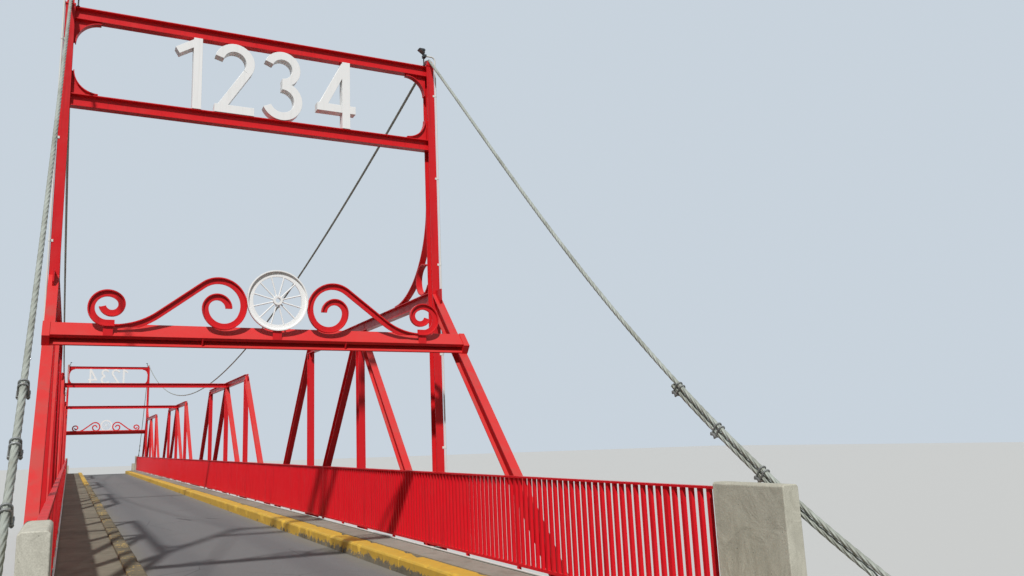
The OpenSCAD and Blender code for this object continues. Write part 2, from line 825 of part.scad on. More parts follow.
// Conduit that lies along the deck beside the railing, on a surface at height z
module deck_conduit(z) {
    l = 2 * (rail_end_y - 2);
    step = rail_pitch * rail_post_every;
    n = floor(l / step / 2);
    translate([conduit_x, 0, z + collar_r + eps]) rotate([90, 0, 0]) {
        cylinder(r = conduit_r, h = l, center = true, $fn = 24);
        for (i = [-n:n]) translate([0, 0, i * step]) cylinder(r = collar_r, h = 12, center = true, $fn = 24);
    }
}

// Branch from the deck conduit under the railing to the tower post, up the post and over to its lamp
module tower_conduit(z) {
    bend = 30;
    x0 = conduit_x;
    x1 = truss_x + member_b / 2 + 2 + eps + conduit_r;
    z0 = z + collar_r + eps;
    lamp_x = truss_x - lamp_off + box_w / 2 + eps;
    translate([0, conduit_y, 0]) {
        translate([x0, 0, z0]) rotate([0, 90, 0]) cylinder(r = conduit_r, h = x1 - bend - x0, $fn = 24);
        translate([x0, 15, z0]) rotate([90, 0, 0]) cylinder(r = collar_r, h = 30, $fn = 24);
        translate([x1 - bend, 0, z0]) conduit_bend(bend);
        translate([x1, 0, z0 + bend])
            cylinder(r = conduit_r, h = conduit_top_z - z0 - 2 * bend, $fn = 24);
        translate([x1, 0, conduit_top_z - bend]) rotate([0, -90, 0]) conduit_bend(bend);
        translate([lamp_x, 0, conduit_top_z]) rotate([0, 90, 0])
            cylinder(r = conduit_r, h = x1 - bend - lamp_x, $fn = 24);
        for (i = [1:5]) translate([x1, 0, z0 + i * (tower_top_z - z0) / 5.4]) {
            cylinder(r = collar_r, h = 16, $fn = 24);
            translate([-22, collar_r - 3, 0]) cube([22, 3, 16]);
        }
    }
}

module conduits() {
    color(white) {
        both_ends() {
            tower_conduit(ledge_top_z);
            mirror([1, 0, 0]) tower_conduit(walk_top_z);
        }
        deck_conduit(ledge_top_z);
        mirror([1, 0, 0]) deck_conduit(walk_top_z);
    }
}

module tower_lamps() {
    color(asphalt) four_corners() lamp();
}

// Light cross struts between the top chords, over the joints of the first and the last two spans
module top_struts() {
    half = truss_x - gusset_t / 2 - eps;
    color(red) for (end = [-1, 1]) translate([0, end * span_pitch / 2, top_axis_z])
        cross_beam(2 * half, member_d - 2 * flange_t - 2, member_b);
}

// Draws one named piece
truss_at(-1, 0);  // truss_left_1
truss_at(-1, 1);  // truss_left_2
truss_at(-1, 2);  // truss_left_3
truss_at(-1, 3);  // truss_left_4
truss_at(1, 0);  // truss_right_1
truss_at(1, 1);  // truss_right_2
truss_at(1, 2);  // truss_right_3
truss_at(1, 3);  // truss_right_4
tower_at(-1, -1);  // tower_near_left
tower_at(1, -1);  // tower_near_right
tower_at(-1, 1);  // tower_far_left
tower_at(1, 1);  // tower_far_right
sign_frame();  // sign_frame_near
far_end() sign_frame();  // sign_frame_far
portal_beam();  // portal_beam_near
far_end() portal_beam();  // portal_beam_far
scrolls();  // portal_scrolls_near
far_end() scrolls();  // portal_scrolls_far
wheel();  // portal_wheel_near
far_end() wheel();  // portal_wheel_far
color(red) four_corners() tower_bracket();  // tower_brackets
color(red) four_corners() saddle();  // cable_saddles
cable(-1);  // cable_left
cable(1);  // cable_right
color(steel) four_corners() for (i = [1:3]) clamp_at(i);  // cable_clamps
color(steel) four_corners() anchor_eye();  // cable_anchors
color(concrete) four_corners() anchor_block();  // anchor_blocks
railing(-1, 0);  // railing_left_1
railing(-1, 1);  // railing_left_2
railing(-1, 2);  // railing_left_3
railing(1, 0);  // railing_right_1
railing(1, 1);  // railing_right_2
railing(1, 2);  // railing_right_3
pilasters();
deck_slab();
road_surface();
kerb_left();
kerb_right();
sidewalk();
ledge();
cross_girders();
stringers();
bearings();
translate([0, -span_pitch, 0]) pier();  // pier_1
pier();  // pier_2
translate([0, span_pitch, 0]) pier();  // pier_3
abutment();  // abutment_near
far_end() abutment();  // abutment_far
tower_lamps();
conduits();
top_struts();
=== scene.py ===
"""Looks of a half-size steel truss road bridge with two portal towers.

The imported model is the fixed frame. This script gives every piece of it a finish, and adds what the frame
leaves out: stranded cables with their clips, the portal front in its measured form, the figures in the sign
frames, cast kerbs, softened concrete, flood lamps and nuts.
Lengths are metres. +X runs across the road, +Y along it and +Z up, and Z = 0 is the floor under the piers.
"""

from __future__ import annotations

import logging
import math
from dataclasses import dataclass, field
from enum import Enum
from typing import Iterable, Sequence

import bmesh
import bpy
from mathutils import Matrix, Vector, noise

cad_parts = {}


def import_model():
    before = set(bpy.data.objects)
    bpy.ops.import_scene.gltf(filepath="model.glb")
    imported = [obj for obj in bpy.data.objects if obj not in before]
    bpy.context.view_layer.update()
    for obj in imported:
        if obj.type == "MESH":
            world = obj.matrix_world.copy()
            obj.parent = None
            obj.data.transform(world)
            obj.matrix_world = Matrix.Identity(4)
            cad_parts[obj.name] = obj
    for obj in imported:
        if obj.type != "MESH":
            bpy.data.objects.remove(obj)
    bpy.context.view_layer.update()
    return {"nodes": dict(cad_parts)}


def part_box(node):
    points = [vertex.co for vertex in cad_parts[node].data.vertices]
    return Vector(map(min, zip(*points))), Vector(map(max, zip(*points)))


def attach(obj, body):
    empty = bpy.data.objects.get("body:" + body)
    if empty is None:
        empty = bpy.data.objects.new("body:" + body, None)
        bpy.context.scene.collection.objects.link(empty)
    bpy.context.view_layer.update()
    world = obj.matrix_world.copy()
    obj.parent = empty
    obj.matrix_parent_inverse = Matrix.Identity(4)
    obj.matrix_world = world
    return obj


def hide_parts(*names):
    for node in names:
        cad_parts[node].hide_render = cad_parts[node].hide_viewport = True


log = logging.getLogger("bridge")

Point = tuple[float, float]
Triple = tuple[float, float, float]
Colour = Triple
Socket = bpy.types.NodeSocket
Node = bpy.types.Node
Material = bpy.types.Material
Object = bpy.types.Object
Mesh = bmesh.types.BMesh
Elements = list
Inputs = dict[str | int, object]

BODY = "root"
EPS = 0.0003
UP = Vector((0.0, 0.0, 1.0))

# Places that the frame shares with this script
TRUSS_X = 1.295
TRUSS_RISE = 2.002
PANEL_L = 1.755
BOTTOM_AXIS_Z = 1.7725
TOWER_Y = 12.687
TOWER_TOP = 5.633
MEMBER_D = 0.085
SHELF_Z = 1.5


class ConcreteFace(Enum):
    """How a concrete face was finished."""

    TROWELLED = "trowelled"
    BOARDED = "boarded"
    SCREEDED = "screeded"


# Node graphs


class Value:
    """A number, vector or colour that a node puts out, which can be used in sums."""

    def __init__(self, tree: Tree, socket: Socket) -> None:
        """Keeps the output socket and the tree it belongs to."""
        self.tree = tree
        self.socket = socket

    def __add__(self, other: object) -> Value:
        """Adds a number."""
        return self.tree.math("ADD", self, other)

    def __sub__(self, other: object) -> Value:
        """Takes a number away."""
        return self.tree.math("SUBTRACT", self, other)

    def __rsub__(self, other: object) -> Value:
        """Takes this number away from another."""
        return self.tree.math("SUBTRACT", other, self)

    def __mul__(self, other: object) -> Value:
        """Multiplies by a number."""
        return self.tree.math("MULTIPLY", self, other)

    def __abs__(self) -> Value:
        """Drops the sign."""
        return self.tree.math("ABSOLUTE", self)

    def axis(self, name: str) -> Value:
        """Picks X, Y or Z out of a vector."""
        return self.tree.value("ShaderNodeSeparateXYZ", name, {0: self})

    def step(self, low: float, high: float, start: float = 0.0, end: float = 1.0) -> Value:
        """Turns this number smoothly from start to end between low and high.

        Args:
            low: Where the change begins.
            high: Where it is complete. It may be below low.
            start: Result at low.
            end: Result at high.

        Returns:
            The mapped number.
        """
        if high < low:
            low, high, start, end = high, low, end, start
        ends = {"Value": self, "From Min": low, "From Max": high, "To Min": start, "To Max": end}
        return self.tree.value("ShaderNodeMapRange", "Result", ends, interpolation_type="SMOOTHSTEP")


class Tree:
    """A node tree, with short methods that add nodes and wire them."""

    def __init__(self, tree: bpy.types.NodeTree) -> None:
        """Takes the tree that the nodes are added to."""
        self.nodes = tree.nodes
        self.links = tree.links

    def feed(self, socket: Socket, value: object) -> None:
        """Links a value to an input, or writes it there as a constant.

        Args:
            socket: The input.
            value: A node's value, an output socket or a constant.
        """
        source = value.socket if isinstance(value, Value) else value
        if isinstance(source, bpy.types.NodeSocket):
            self.links.new(source, socket)
        else:
            socket.default_value = source

    def node(self, kind: str, inputs: Inputs | None = None, **settings: object) -> Node:
        """Adds a node.

        Args:
            kind: Blender's type name of the node.
            inputs: Constants or values for its inputs, by name or index.
            **settings: Properties of the node itself.

        Returns:
            The new node.
        """
        made = self.nodes.new(kind)
        for key, value in settings.items():
            setattr(made, key, value)
        for key, value in (inputs or {}).items():
            self.feed(made.inputs[key], value)
        return made

    def value(self, kind: str, output: str | int, inputs: Inputs | None = None,
              **settings: object) -> Value:
        """Adds a node and picks one of its outputs."""
        return Value(self, self.node(kind, inputs, **settings).outputs[output])

    def math(self, operation: str, a: object, b: object = 0.0, clamp: bool = False) -> Value:
        """Combines two numbers with one of the Math node's operations."""
        return self.value("ShaderNodeMath", 0, {0: a, 1: b}, operation=operation, use_clamp=clamp)

    def viewed(self) -> Value:
        """Adds a value that is 1 for camera, glossy and transmission rays, and 0 for the rays that light.

        Returns:
            The value.
        """
        rays = self.node("ShaderNodeLightPath").outputs
        either = self.math("MAXIMUM", rays["Is Camera Ray"], rays["Is Glossy Ray"])
        return self.math("MAXIMUM", either, rays["Is Transmission Ray"])


class Graph(Tree):
    """The node tree of one material, with the patterns that the finishes share."""

    def __init__(self, name: str) -> None:
        """Makes a material and finds its shader.

        Args:
            name: Name of the material.
        """
        self.material = bpy.data.materials.new(name)
        self.material.use_nodes = True
        super().__init__(self.material.node_tree)
        self.shader = next(n for n in self.nodes if n.type == "BSDF_PRINCIPLED")
        self.place = self.value("ShaderNodeTexCoord", "Object")
        self.normal = self.value("ShaderNodeNewGeometry", "Normal")

    def scaled(self, scale: Triple, turn: float = 0.0) -> Value:
        """Stretches the object's own coordinates, and turns them about the road's cross axis."""
        names = {"Vector": self.place, "Scale": scale, "Rotation": (turn, 0.0, 0.0)}
        return self.value("ShaderNodeMapping", "Vector", names)

    def noise(self, scale: float, detail: float = 3.0, rough: float = 0.5, vector: Value | None = None,
              bend: float = 0.0) -> Value:
        """Adds a noise between 0 and 1, centred on a half.

        Args:
            scale: Waves in a metre.
            detail: Octaves.
            rough: Weight of the finer octaves.
            vector: Coordinates, or the object's own without any.
            bend: Distortion.

        Returns:
            The noise.
        """
        names = {"Vector": vector or self.place, "Scale": scale, "Detail": detail, "Roughness": rough,
                 "Distortion": bend}
        return self.value("ShaderNodeTexNoise", 0, names)

    def cells(self, scale: float, feature: str = "F1", vector: Value | None = None) -> Value:
        """Adds the distance of a cell pattern."""
        names = {"Vector": vector or self.place, "Scale": scale}
        return self.value("ShaderNodeTexVoronoi", "Distance", names, feature=feature)

    def layers(self, base: object, *coats: tuple[object, object]) -> Value:
        """Lays coats over a base colour.

        Args:
            base: The colour underneath.
            *coats: The mask and the colour of each coat, from the bottom up.

        Returns:
            The colour on top.
        """
        for mask, coat in coats:
            pair = [(*c, 1.0) if isinstance(c, tuple) else c for c in (base, coat)]
            base = self.value("ShaderNodeMix", 2, {0: mask, 6: pair[0], 7: pair[1]}, data_type="RGBA")
        return base

    def relief(self, *fields: tuple[Value, float, float]) -> Value | None:
        """Stacks bumps.

        Args:
            *fields: The height field of each bump, how much of it shows and its depth, coarse ones first.

        Returns:
            The normal.
        """
        normal = None
        for height, strength, depth in fields:
            inputs = {"Height": height, "Strength": strength, "Distance": depth}
            if normal is not None:
                inputs["Normal"] = normal
            normal = self.value("ShaderNodeBump", 0, inputs)
        return normal

    def finish(self, colour: object, rough: object, normal: Value | None = None, metallic: float = 0.0,
               coat: float = 0.0, gloss: float = 0.5) -> Material:
        """Wires the shader.

        Args:
            colour: Base colour.
            rough: Roughness.
            normal: Normal of the last bump.
            metallic: Metallic share.
            coat: Weight of a clear coat.
            gloss: Level of the mirror-like share.

        Returns:
            The finished material.
        """
        inputs = {"Base Color": colour, "Roughness": rough, "Metallic": metallic, "Coat Weight": coat,
                  "Specular IOR Level": gloss}
        if normal is not None:
            inputs["Normal"] = normal
        for name, value in inputs.items():
            self.feed(self.shader.inputs[name], value)
        return self.material


# Finishes


@dataclass(frozen=True)
class Finish:
    """A finish that makes one material."""

    name: str

    def make(self) -> Material:
        """Builds the material, which each kind of finish does in its own way."""
        raise NotImplementedError


@dataclass(frozen=True)
class PaintedSteel(Finish):
    """Gloss paint on rolled steel: paler on upward faces as sun-faded paint and painted top light, streaked
    on the sides, with a few rust specks.
    """

    paint: Colour
    # Colour of upward faces: sun-faded paint together with painted top light
    faded_and_lit: Colour
    fade_and_top_light: float = 0.75
    dirt: float = 0.3
    rust: float = 0.5
    gloss: float = 0.22
    shade: Colour = (0.20, 0.012, 0.016)
    dust: Colour = (0.20, 0.15, 0.12)
    corroded: Colour = (0.10, 0.035, 0.018)

    def make(self) -> Material:
        """Builds the material.

        Returns:
            The material.
        """
        g = Graph(self.name)
        cloud = g.noise(1.6, 4.0, 0.6)
        patch = g.noise(7.0, 5.0, 0.65, bend=0.6)
        streak = g.noise(1.0, 5.0, 0.6, g.scaled((42.0, 42.0, 1.6)))
        up = g.normal.axis("Z")

        # worn is the paler top colour: sun-faded paint together with painted light on upward faces
        worn = up.step(0.15, 0.8) * cloud.step(0.2, 0.62, 0.45, self.fade_and_top_light)
        chalk = patch.step(0.5, 0.75) * 0.07
        specks = g.noise(46.0, 4.0, 0.7).step(0.66, 0.7) * cloud.step(0.5, 0.72) * self.rust
        colour = g.layers(
            self.paint,
            (g.math("MAXIMUM", worn, chalk), self.faded_and_lit),
            (streak.step(0.52, 0.8) * up.step(0.5, 0.1, 0.0, 0.5), self.shade),
            (patch.step(0.42, 0.7) * up.step(0.3, 0.95, 0.03, self.dirt), self.dust),
            (specks, self.corroded),
        )
        rough = g.math("ADD", patch.step(0.3, 0.75, 0.3, 0.46), specks * 0.4, clamp=True)
        waves = g.noise(5.0, 2.0, 0.5, g.scaled((1.0, 1.0, 0.4)))
        peel = g.noise(150.0, 3.0, 0.6)
        normal = g.relief((waves, 0.25, 0.004), (peel, 0.12, 0.0008), (specks, 0.4, 0.0006))
        return g.finish(colour, rough, normal, gloss=self.gloss)


@dataclass(frozen=True)
class WhitePaint(Finish):
    """White paint on plate or pipe, with grey runs and a little grime."""

    paint: Colour = (0.90, 0.90, 0.88)
    grime: Colour = (0.38, 0.37, 0.34)
    amount: float = 0.16

    def make(self) -> Material:
        """Builds the material.

        Returns:
            The material.
        """
        g = Graph(self.name)
        patch = g.noise(9.0, 5.0, 0.6, bend=0.4)
        streak = g.noise(1.0, 4.0, 0.55, g.scaled((60.0, 60.0, 3.0)))
        run = streak.step(0.5, 0.78) * patch.step(0.35, 0.65, 0.1, self.amount)
        colour = g.layers(self.paint, (run, self.grime))
        normal = g.relief((g.noise(120.0, 3.0, 0.6), 0.1, 0.0008))
        return g.finish(colour, patch.step(0.3, 0.7, 0.32, 0.5), normal)


@dataclass(frozen=True)
class Concrete(Finish):
    """Weathered concrete: clouds, runs of grime, pores, and the marks of how the face was finished."""

    face: ConcreteFace
    body: Colour = (0.365, 0.335, 0.255)
    pale: Colour = (0.52, 0.49, 0.41)
    stain: Colour = (0.115, 0.105, 0.075)
    # Colour of pores: painted shade inside the pits
    hollow_shade: Colour = (0.05, 0.045, 0.035)
    stained: float = 0.55
    boards_per_m: float = 10.0

    def marks(self, g: Graph) -> Value:
        """Draws the height of the trowel strokes, broom lines or board lines.

        Args:
            g: The material's graph.

        Returns:
            The height field.
        """
        if self.face is ConcreteFace.TROWELLED:
            return g.noise(1.0, 4.0, 0.6, g.scaled((9.0, 7.0, 6.0), 0.5), 2.4)
        if self.face is ConcreteFace.SCREEDED:
            return g.noise(1.0, 4.0, 0.6, g.scaled((2.5, 90.0, 20.0)))
        board = g.math("FRACT", g.place.axis("Z") * self.boards_per_m)
        line = abs(board - 0.5).step(0.44, 0.5, 1.0, 0.0)
        return line + g.noise(1.0, 4.0, 0.6, g.scaled((3.0, 3.0, 70.0))) * 0.3

    def make(self) -> Material:
        """Builds the material.

        Returns:
            The material.
        """
        g = Graph(self.name)
        cloud = g.noise(1.1, 5.0, 0.62)
        patch = g.noise(6.0, 6.0, 0.65, bend=0.5)
        sand = g.noise(260.0, 2.0, 0.7)
        streak = g.noise(1.0, 5.0, 0.6, g.scaled((22.0, 22.0, 0.9)))
        up = g.normal.axis("Z")
        marks = self.marks(g)
        pore = g.cells(52.0).step(0.11, 0.07) * patch.step(0.44, 0.6)
        colour = g.layers(
            self.body,
            (cloud.step(0.35, 0.7, 0.0, 0.8), self.pale),
            (streak.step(0.48, 0.74) * up.step(0.6, 0.1, 0.15, self.stained), self.stain),
            (patch.step(0.5, 0.72) * (self.stained * 0.6), self.stain),
            (marks.step(0.35, 0.62, 0.16, 0.0), self.stain),
            (sand.step(0.35, 0.68, 0.22, 0.0), self.stain),
            # Pores darkened with painted shade
            (pore * 0.7, self.hollow_shade),
        )
        coarse = (marks, 0.55, 0.006 if self.face is ConcreteFace.TROWELLED else 0.003)
        normal = g.relief(coarse, (patch, 0.3, 0.003), (sand, 0.35, 0.0012), (1.0 - pore, 0.6, 0.002))
        return g.finish(colour, patch.step(0.3, 0.7, 0.82, 0.95), normal, gloss=0.3)


@dataclass(frozen=True)
class KerbPaint(Finish):
    """Yellow road paint on a cast kerb, worn off its edges and its road side."""

    side: int
    cover: float
    far_cover: float
    worn_y: Point
    foot_z: float = 1.885
    top_z: float = 1.955
    paint: Colour = (0.70, 0.435, 0.050)
    thin: Colour = (0.42, 0.27, 0.05)
    body: Colour = (0.30, 0.265, 0.19)
    grime: Colour = (0.075, 0.065, 0.042)

    def make(self) -> Material:
        """Builds the material.

        Returns:
            The material.
        """
        g = Graph(self.name)
        cloud = g.noise(2.2, 5.0, 0.62)
        patch = g.noise(11.0, 6.0, 0.7, bend=0.7)
        fine = g.noise(60.0, 4.0, 0.7)
        sand = g.noise(240.0, 2.0, 0.7)
        to_road = (g.normal.axis("X") * -float(self.side)).step(0.3, 0.9)
        height = g.place.axis("Z").step(self.foot_z, self.top_z)

        wear = to_road * 0.2 * (1.35 - height)
        cover = g.place.axis("Y").step(*self.worn_y, self.cover, self.far_cover)
        texture = patch * 0.65 + fine * 0.35 + cloud * 0.35
        mask = (cover - wear - texture).step(-0.025, 0.02)
        paint = g.layers(
            self.paint,
            (patch.step(0.35, 0.7, 0.0, 0.35), self.thin),
            (cloud.step(0.55, 0.8, 0.0, 0.3), self.grime),
        )
        colour = g.layers(
            self.body,
            (cloud.step(0.35, 0.7, 0.1, 0.8), self.grime),
            (sand.step(0.35, 0.65, 0.3, 0.0), self.grime),
            (mask, paint),
        )
        normal = g.relief((patch, 0.45, 0.005), (sand, 0.4, 0.0012), (mask, 0.35, 0.001))
        return g.finish(colour, 0.9 - mask * 0.25, normal)


@dataclass(frozen=True)
class Asphalt(Finish):
    """Rolled asphalt: fine aggregate, two darker wheel tracks, dusty edges and a few hair cracks."""

    body: Colour = (0.196, 0.190, 0.186)
    pale: Colour = (0.215, 0.215, 0.215)
    dark: Colour = (0.104, 0.101, 0.100)
    stone: Colour = (0.29, 0.29, 0.285)
    dust: Colour = (0.235, 0.215, 0.175)
    # Colour of hair cracks: painted shade inside the gaps
    hollow_shade: Colour = (0.02, 0.02, 0.02)
    centre: float = 0.09
    track: float = 0.38

    def make(self) -> Material:
        """Builds the material.

        Returns:
            The material.
        """
        g = Graph(self.name)
        cloud = g.noise(0.7, 5.0, 0.6, g.scaled((1.0, 0.35, 1.0)))
        grain = g.cells(190.0)
        fine = g.noise(420.0, 2.0, 0.7)
        off = abs(g.place.axis("X") - self.centre) + (g.noise(1.3, 2.0) - 0.5) * 0.1
        track = abs(off - self.track).step(0.2, 0.04)
        edge = (off + g.noise(8.0, 5.0, 0.7) * 0.16).step(0.66, 0.85)
        net = g.cells(1.5, "DISTANCE_TO_EDGE", g.scaled((1.0, 0.5, 1.0)))
        crack = net.step(0.006, 0.0) * g.noise(0.8, 2.0).step(0.52, 0.6)
        colour = g.layers(
            self.body,
            (cloud.step(0.35, 0.68, 0.0, 0.45), self.pale),
            (track * 0.5, self.dark),
            (fine.step(0.4, 0.7, 0.0, 0.3), self.stone),
            (grain.step(0.25, 0.6, 0.0, 0.45), self.dark),
            (edge * 0.75, self.dust),
            # Hair cracks darkened with painted shade
            (crack * 0.8, self.hollow_shade),
        )
        normal = g.relief((grain, 0.5, 0.0016), (fine, 0.4, 0.0007))
        return g.finish(colour, 0.92 - track * 0.14, normal)


@dataclass(frozen=True)
class BareMetal(Finish):
    """Dull zinc or wire, with a patchy skin and specks of rust."""

    body: Colour
    dull: Colour
    rusty: Colour = (0.17, 0.085, 0.045)
    metallic: float = 0.6
    grain: float = 70.0
    rust: float = 0.25

    def make(self) -> Material:
        """Builds the material.

        Returns:
            The material.
        """
        g = Graph(self.name)
        spangle = g.cells(self.grain)
        colour = g.layers(
            self.body,
            (g.noise(8.0, 5.0, 0.65).step(0.35, 0.68), self.dull),
            (spangle.step(0.1, 0.7, 0.0, 0.3), self.dull),
            (g.noise(22.0, 5.0, 0.7).step(0.56, 0.7) * self.rust, self.rusty),
        )
        normal = g.relief((g.noise(180.0, 3.0, 0.6), 0.2, 0.0006))
        return g.finish(colour, spangle.step(0.1, 0.7, 0.42, 0.62), normal, self.metallic)


@dataclass(frozen=True)
class DarkCasting(Finish):
    """Dark powder-coated casting of a lamp."""

    body: Colour = (0.022, 0.025, 0.028)
    dust: Colour = (0.09, 0.09, 0.085)

    def make(self) -> Material:
        """Builds the material.

        Returns:
            The material.
        """
        g = Graph(self.name)
        patch = g.noise(30.0, 5.0, 0.6)
        colour = g.layers(self.body, (patch.step(0.4, 0.75, 0.0, 0.5), self.dust))
        normal = g.relief((g.noise(420.0, 2.0, 0.6), 0.25, 0.0004))
        return g.finish(colour, patch.step(0.3, 0.7, 0.4, 0.6), normal)


@dataclass(frozen=True)
class LampGlass(Finish):
    """Pressed glass of a flood lamp, seen as a grey sheen with dust on it."""

    body: Colour = (0.16, 0.18, 0.19)
    dust: Colour = (0.42, 0.42, 0.38)
    ribs_per_m: float = 900.0

    def make(self) -> Material:
        """Builds the material.

        Returns:
            The material.
        """
        g = Graph(self.name)
        film = g.noise(60.0, 5.0, 0.6)
        colour = g.layers(self.body, (film.step(0.4, 0.7, 0.1, 0.6), self.dust))
        ribs = g.math("SINE", g.place.axis("Y") * self.ribs_per_m)
        return g.finish(colour, film.step(0.4, 0.7, 0.08, 0.3), g.relief((ribs, 0.3, 0.0006)), coat=0.6)


# Mesh helpers


def direction(angle: float) -> Vector:
    """Points along an angle in radians, in a plane."""
    return Vector((math.cos(angle), math.sin(angle)))


def upright(flat: Sequence[float]) -> Vector:
    """Stands a flat (across, up) vector in the plane across the road."""
    return Vector((flat[0], 0.0, flat[1]))


def link(name: str, data: bpy.types.ID) -> Object:
    """Makes an object of its data and links it to the scene.

    Args:
        name: Name of the object.
        data: A mesh, curve, camera or light.

    Returns:
        The object, at the origin.
    """
    obj = bpy.data.objects.new(name, data)
    bpy.context.scene.collection.objects.link(obj)
    return obj


def remove(*objects: Object) -> None:
    """Deletes helper objects."""
    for obj in objects:
        bpy.data.objects.remove(obj, do_unlink=True)


def to_mesh(name: str, bm: Mesh) -> bpy.types.Mesh:
    """Turns a bmesh into a mesh.

    Args:
        name: Name of the mesh.
        bm: The bmesh, which is freed.

    Returns:
        The mesh.
    """
    mesh = bpy.data.meshes.new(name)
    bm.to_mesh(mesh)
    bm.free()
    return mesh


def pour(bm: Mesh, mesh: bpy.types.Mesh) -> None:
    """Adds a mesh to a bmesh and deletes it."""
    bm.from_mesh(mesh)
    bpy.data.meshes.remove(mesh)


def stamp(bm: Mesh, mesh: bpy.types.Mesh, places: Iterable[Matrix]) -> None:
    """Adds a copy of a mesh at each of some places.

    Args:
        bm: The bmesh that gets the copies.
        mesh: The mesh, which is deleted afterwards.
        places: Where the copies go.
    """
    for place in places:
        copy = mesh.copy()
        copy.transform(place)
        pour(bm, copy)
    bpy.data.meshes.remove(mesh)


def add_piece(name: str, bm: Mesh, materials: Sequence[Material], smooth: bool = False) -> Object:
    """Turns a bmesh into a piece that rides on the bridge, and reports it.

    Args:
        name: Name of the piece.
        bm: The mesh, which is freed.
        materials: Materials for its slots.
        smooth: Whether its faces are shaded smooth.

    Returns:
        The new object, at the origin.
    """
    mesh = to_mesh(name, bm)
    for material in materials:
        mesh.materials.append(material)
    mesh.polygons.foreach_set("use_smooth", [smooth] * len(mesh.polygons))
    piece = link(name, mesh)
    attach(piece, BODY)
    log.info("%s: %d faces", name, len(mesh.polygons))
    return piece


def baked(obj: Object) -> bpy.types.Mesh:
    """Makes a mesh of an object with its modifiers and bevel applied.

    Args:
        obj: The object.

    Returns:
        The mesh.
    """
    bpy.context.view_layer.update()
    graph = bpy.context.evaluated_depsgraph_get()
    return bpy.data.meshes.new_from_object(obj.evaluated_get(graph))


def settle(bm: Mesh) -> None:
    """Merges doubles, and turns every face outwards."""
    bmesh.ops.remove_doubles(bm, verts=bm.verts, dist=1e-6)
    bmesh.ops.recalc_face_normals(bm, faces=bm.faces)


def merge_flats(bm: Mesh, degrees: float) -> None:
    """Merges loose triangles into whole faces where they lie flat to within an angle."""
    bmesh.ops.remove_doubles(bm, verts=bm.verts, dist=1e-5)
    bmesh.ops.dissolve_limit(bm, angle_limit=math.radians(degrees), verts=bm.verts, edges=bm.edges)


def close_holes(bm: Mesh) -> None:
    """Fills every open rim with a face."""
    bmesh.ops.holes_fill(bm, edges=[e for e in bm.edges if e.is_boundary], sides=0)


def round_edges(bm: Mesh, width: float, segments: int = 2, angle: float = 30.0) -> None:
    """Bevels every edge whose faces meet at more than an angle.

    Args:
        bm: The mesh.
        width: Width of the bevel.
        segments: Facets of the bevel.
        angle: The angle in degrees.
    """
    limit = math.radians(angle)
    sharp = [e for e in bm.edges if len(e.link_faces) == 2 and e.calc_face_angle(0.0) > limit]
    bmesh.ops.bevel(bm, geom=sharp, offset=width, offset_type="OFFSET", affect="EDGES", segments=segments,
                    profile=0.5, material=-1, clamp_overlap=True)


def new_face(bm: Mesh, points: Iterable[Sequence[float]]) -> Elements:
    """Draws a closed outline as one face, and lists it with its edges and corners."""
    face = bm.faces.new([bm.verts.new(p) for p in points])
    return [face, *face.edges, *face.verts]


def sweep(bm: Mesh, section: Elements, centre: Sequence[float] = (0.0, 0.0, 0.0), angle: float = 0.0,
          steps: int = 1, push: Sequence[float] = (0.0, 0.0, 0.0), merge: bool = False) -> Elements:
    """Sweeps a section round an axis that lies along the road, or straight on.

    Args:
        bm: The mesh that holds the section.
        section: The elements that are swept.
        centre: A point of the axis.
        angle: The turn in radians, from +X towards +Z.
        steps: Number of segments.
        push: Straight move in each segment.
        merge: Whether the last segment is joined to the first.

    Returns:
        The elements at the end of the sweep.
    """
    made = bmesh.ops.spin(bm, geom=section, cent=centre, axis=(0.0, -1.0, 0.0), dvec=push, angle=angle,
                          steps=steps, use_merge=merge, use_duplicate=False)
    return made["geom_last"]


def rod(bm: Mesh, radius: float, length: float, sides: int, place: Matrix) -> None:
    """Adds a closed cylinder about the middle of a place, along its Z."""
    bmesh.ops.create_cone(bm, cap_ends=True, segments=sides, radius1=radius, radius2=radius, depth=length,
                          matrix=place)


def block(bm: Mesh, low: Sequence[float], high: Sequence[float]) -> None:
    """Adds a box.

    Args:
        bm: The mesh that gets it.
        low: Lowest corner.
        high: Highest corner.
    """
    size = Vector(high) - Vector(low)
    place = Matrix.Translation((Vector(high) + Vector(low)) / 2) @ Matrix.Diagonal((*size, 1.0))
    bmesh.ops.create_cube(bm, size=1.0, matrix=place)


def plate(bm: Mesh, outline: Sequence[Sequence[float]], push: Sequence[float]) -> list[bmesh.types.BMFace]:
    """Fills an outline with a face and extrudes it.

    Args:
        bm: The mesh that gets it.
        outline: Corners of the face, in order.
        push: The extrusion.

    Returns:
        All faces of the closed plate.
    """
    corners = [bm.verts.new(p) for p in outline]
    face = bm.faces.new(corners)
    moved = bmesh.ops.extrude_face_region(bm, geom=[face], use_keep_orig=True)["geom"]
    verts = [v for v in moved if isinstance(v, bmesh.types.BMVert)]
    bmesh.ops.translate(bm, verts=verts, vec=Vector(push))
    faces = {f for v in corners + verts for f in v.link_faces}
    bmesh.ops.recalc_face_normals(bm, faces=list(faces))
    return list(faces)


def mirror(bm: Mesh, axis: str) -> None:
    """Adds a copy of everything on the other side of the bridge's middle, across X or Y."""
    geom = bm.verts[:] + bm.edges[:] + bm.faces[:]
    bmesh.ops.mirror(bm, geom=geom, matrix=Matrix.Identity(4), merge_dist=-1.0, axis=axis)


def to_corners(bm: Mesh) -> None:
    """Mirrors a fitting of the near right corner to the other three corners of the bridge.

    Args:
        bm: The fitting.
    """
    for axis in ("X", "Y"):
        mirror(bm, axis)
    bmesh.ops.recalc_face_normals(bm, faces=bm.faces)


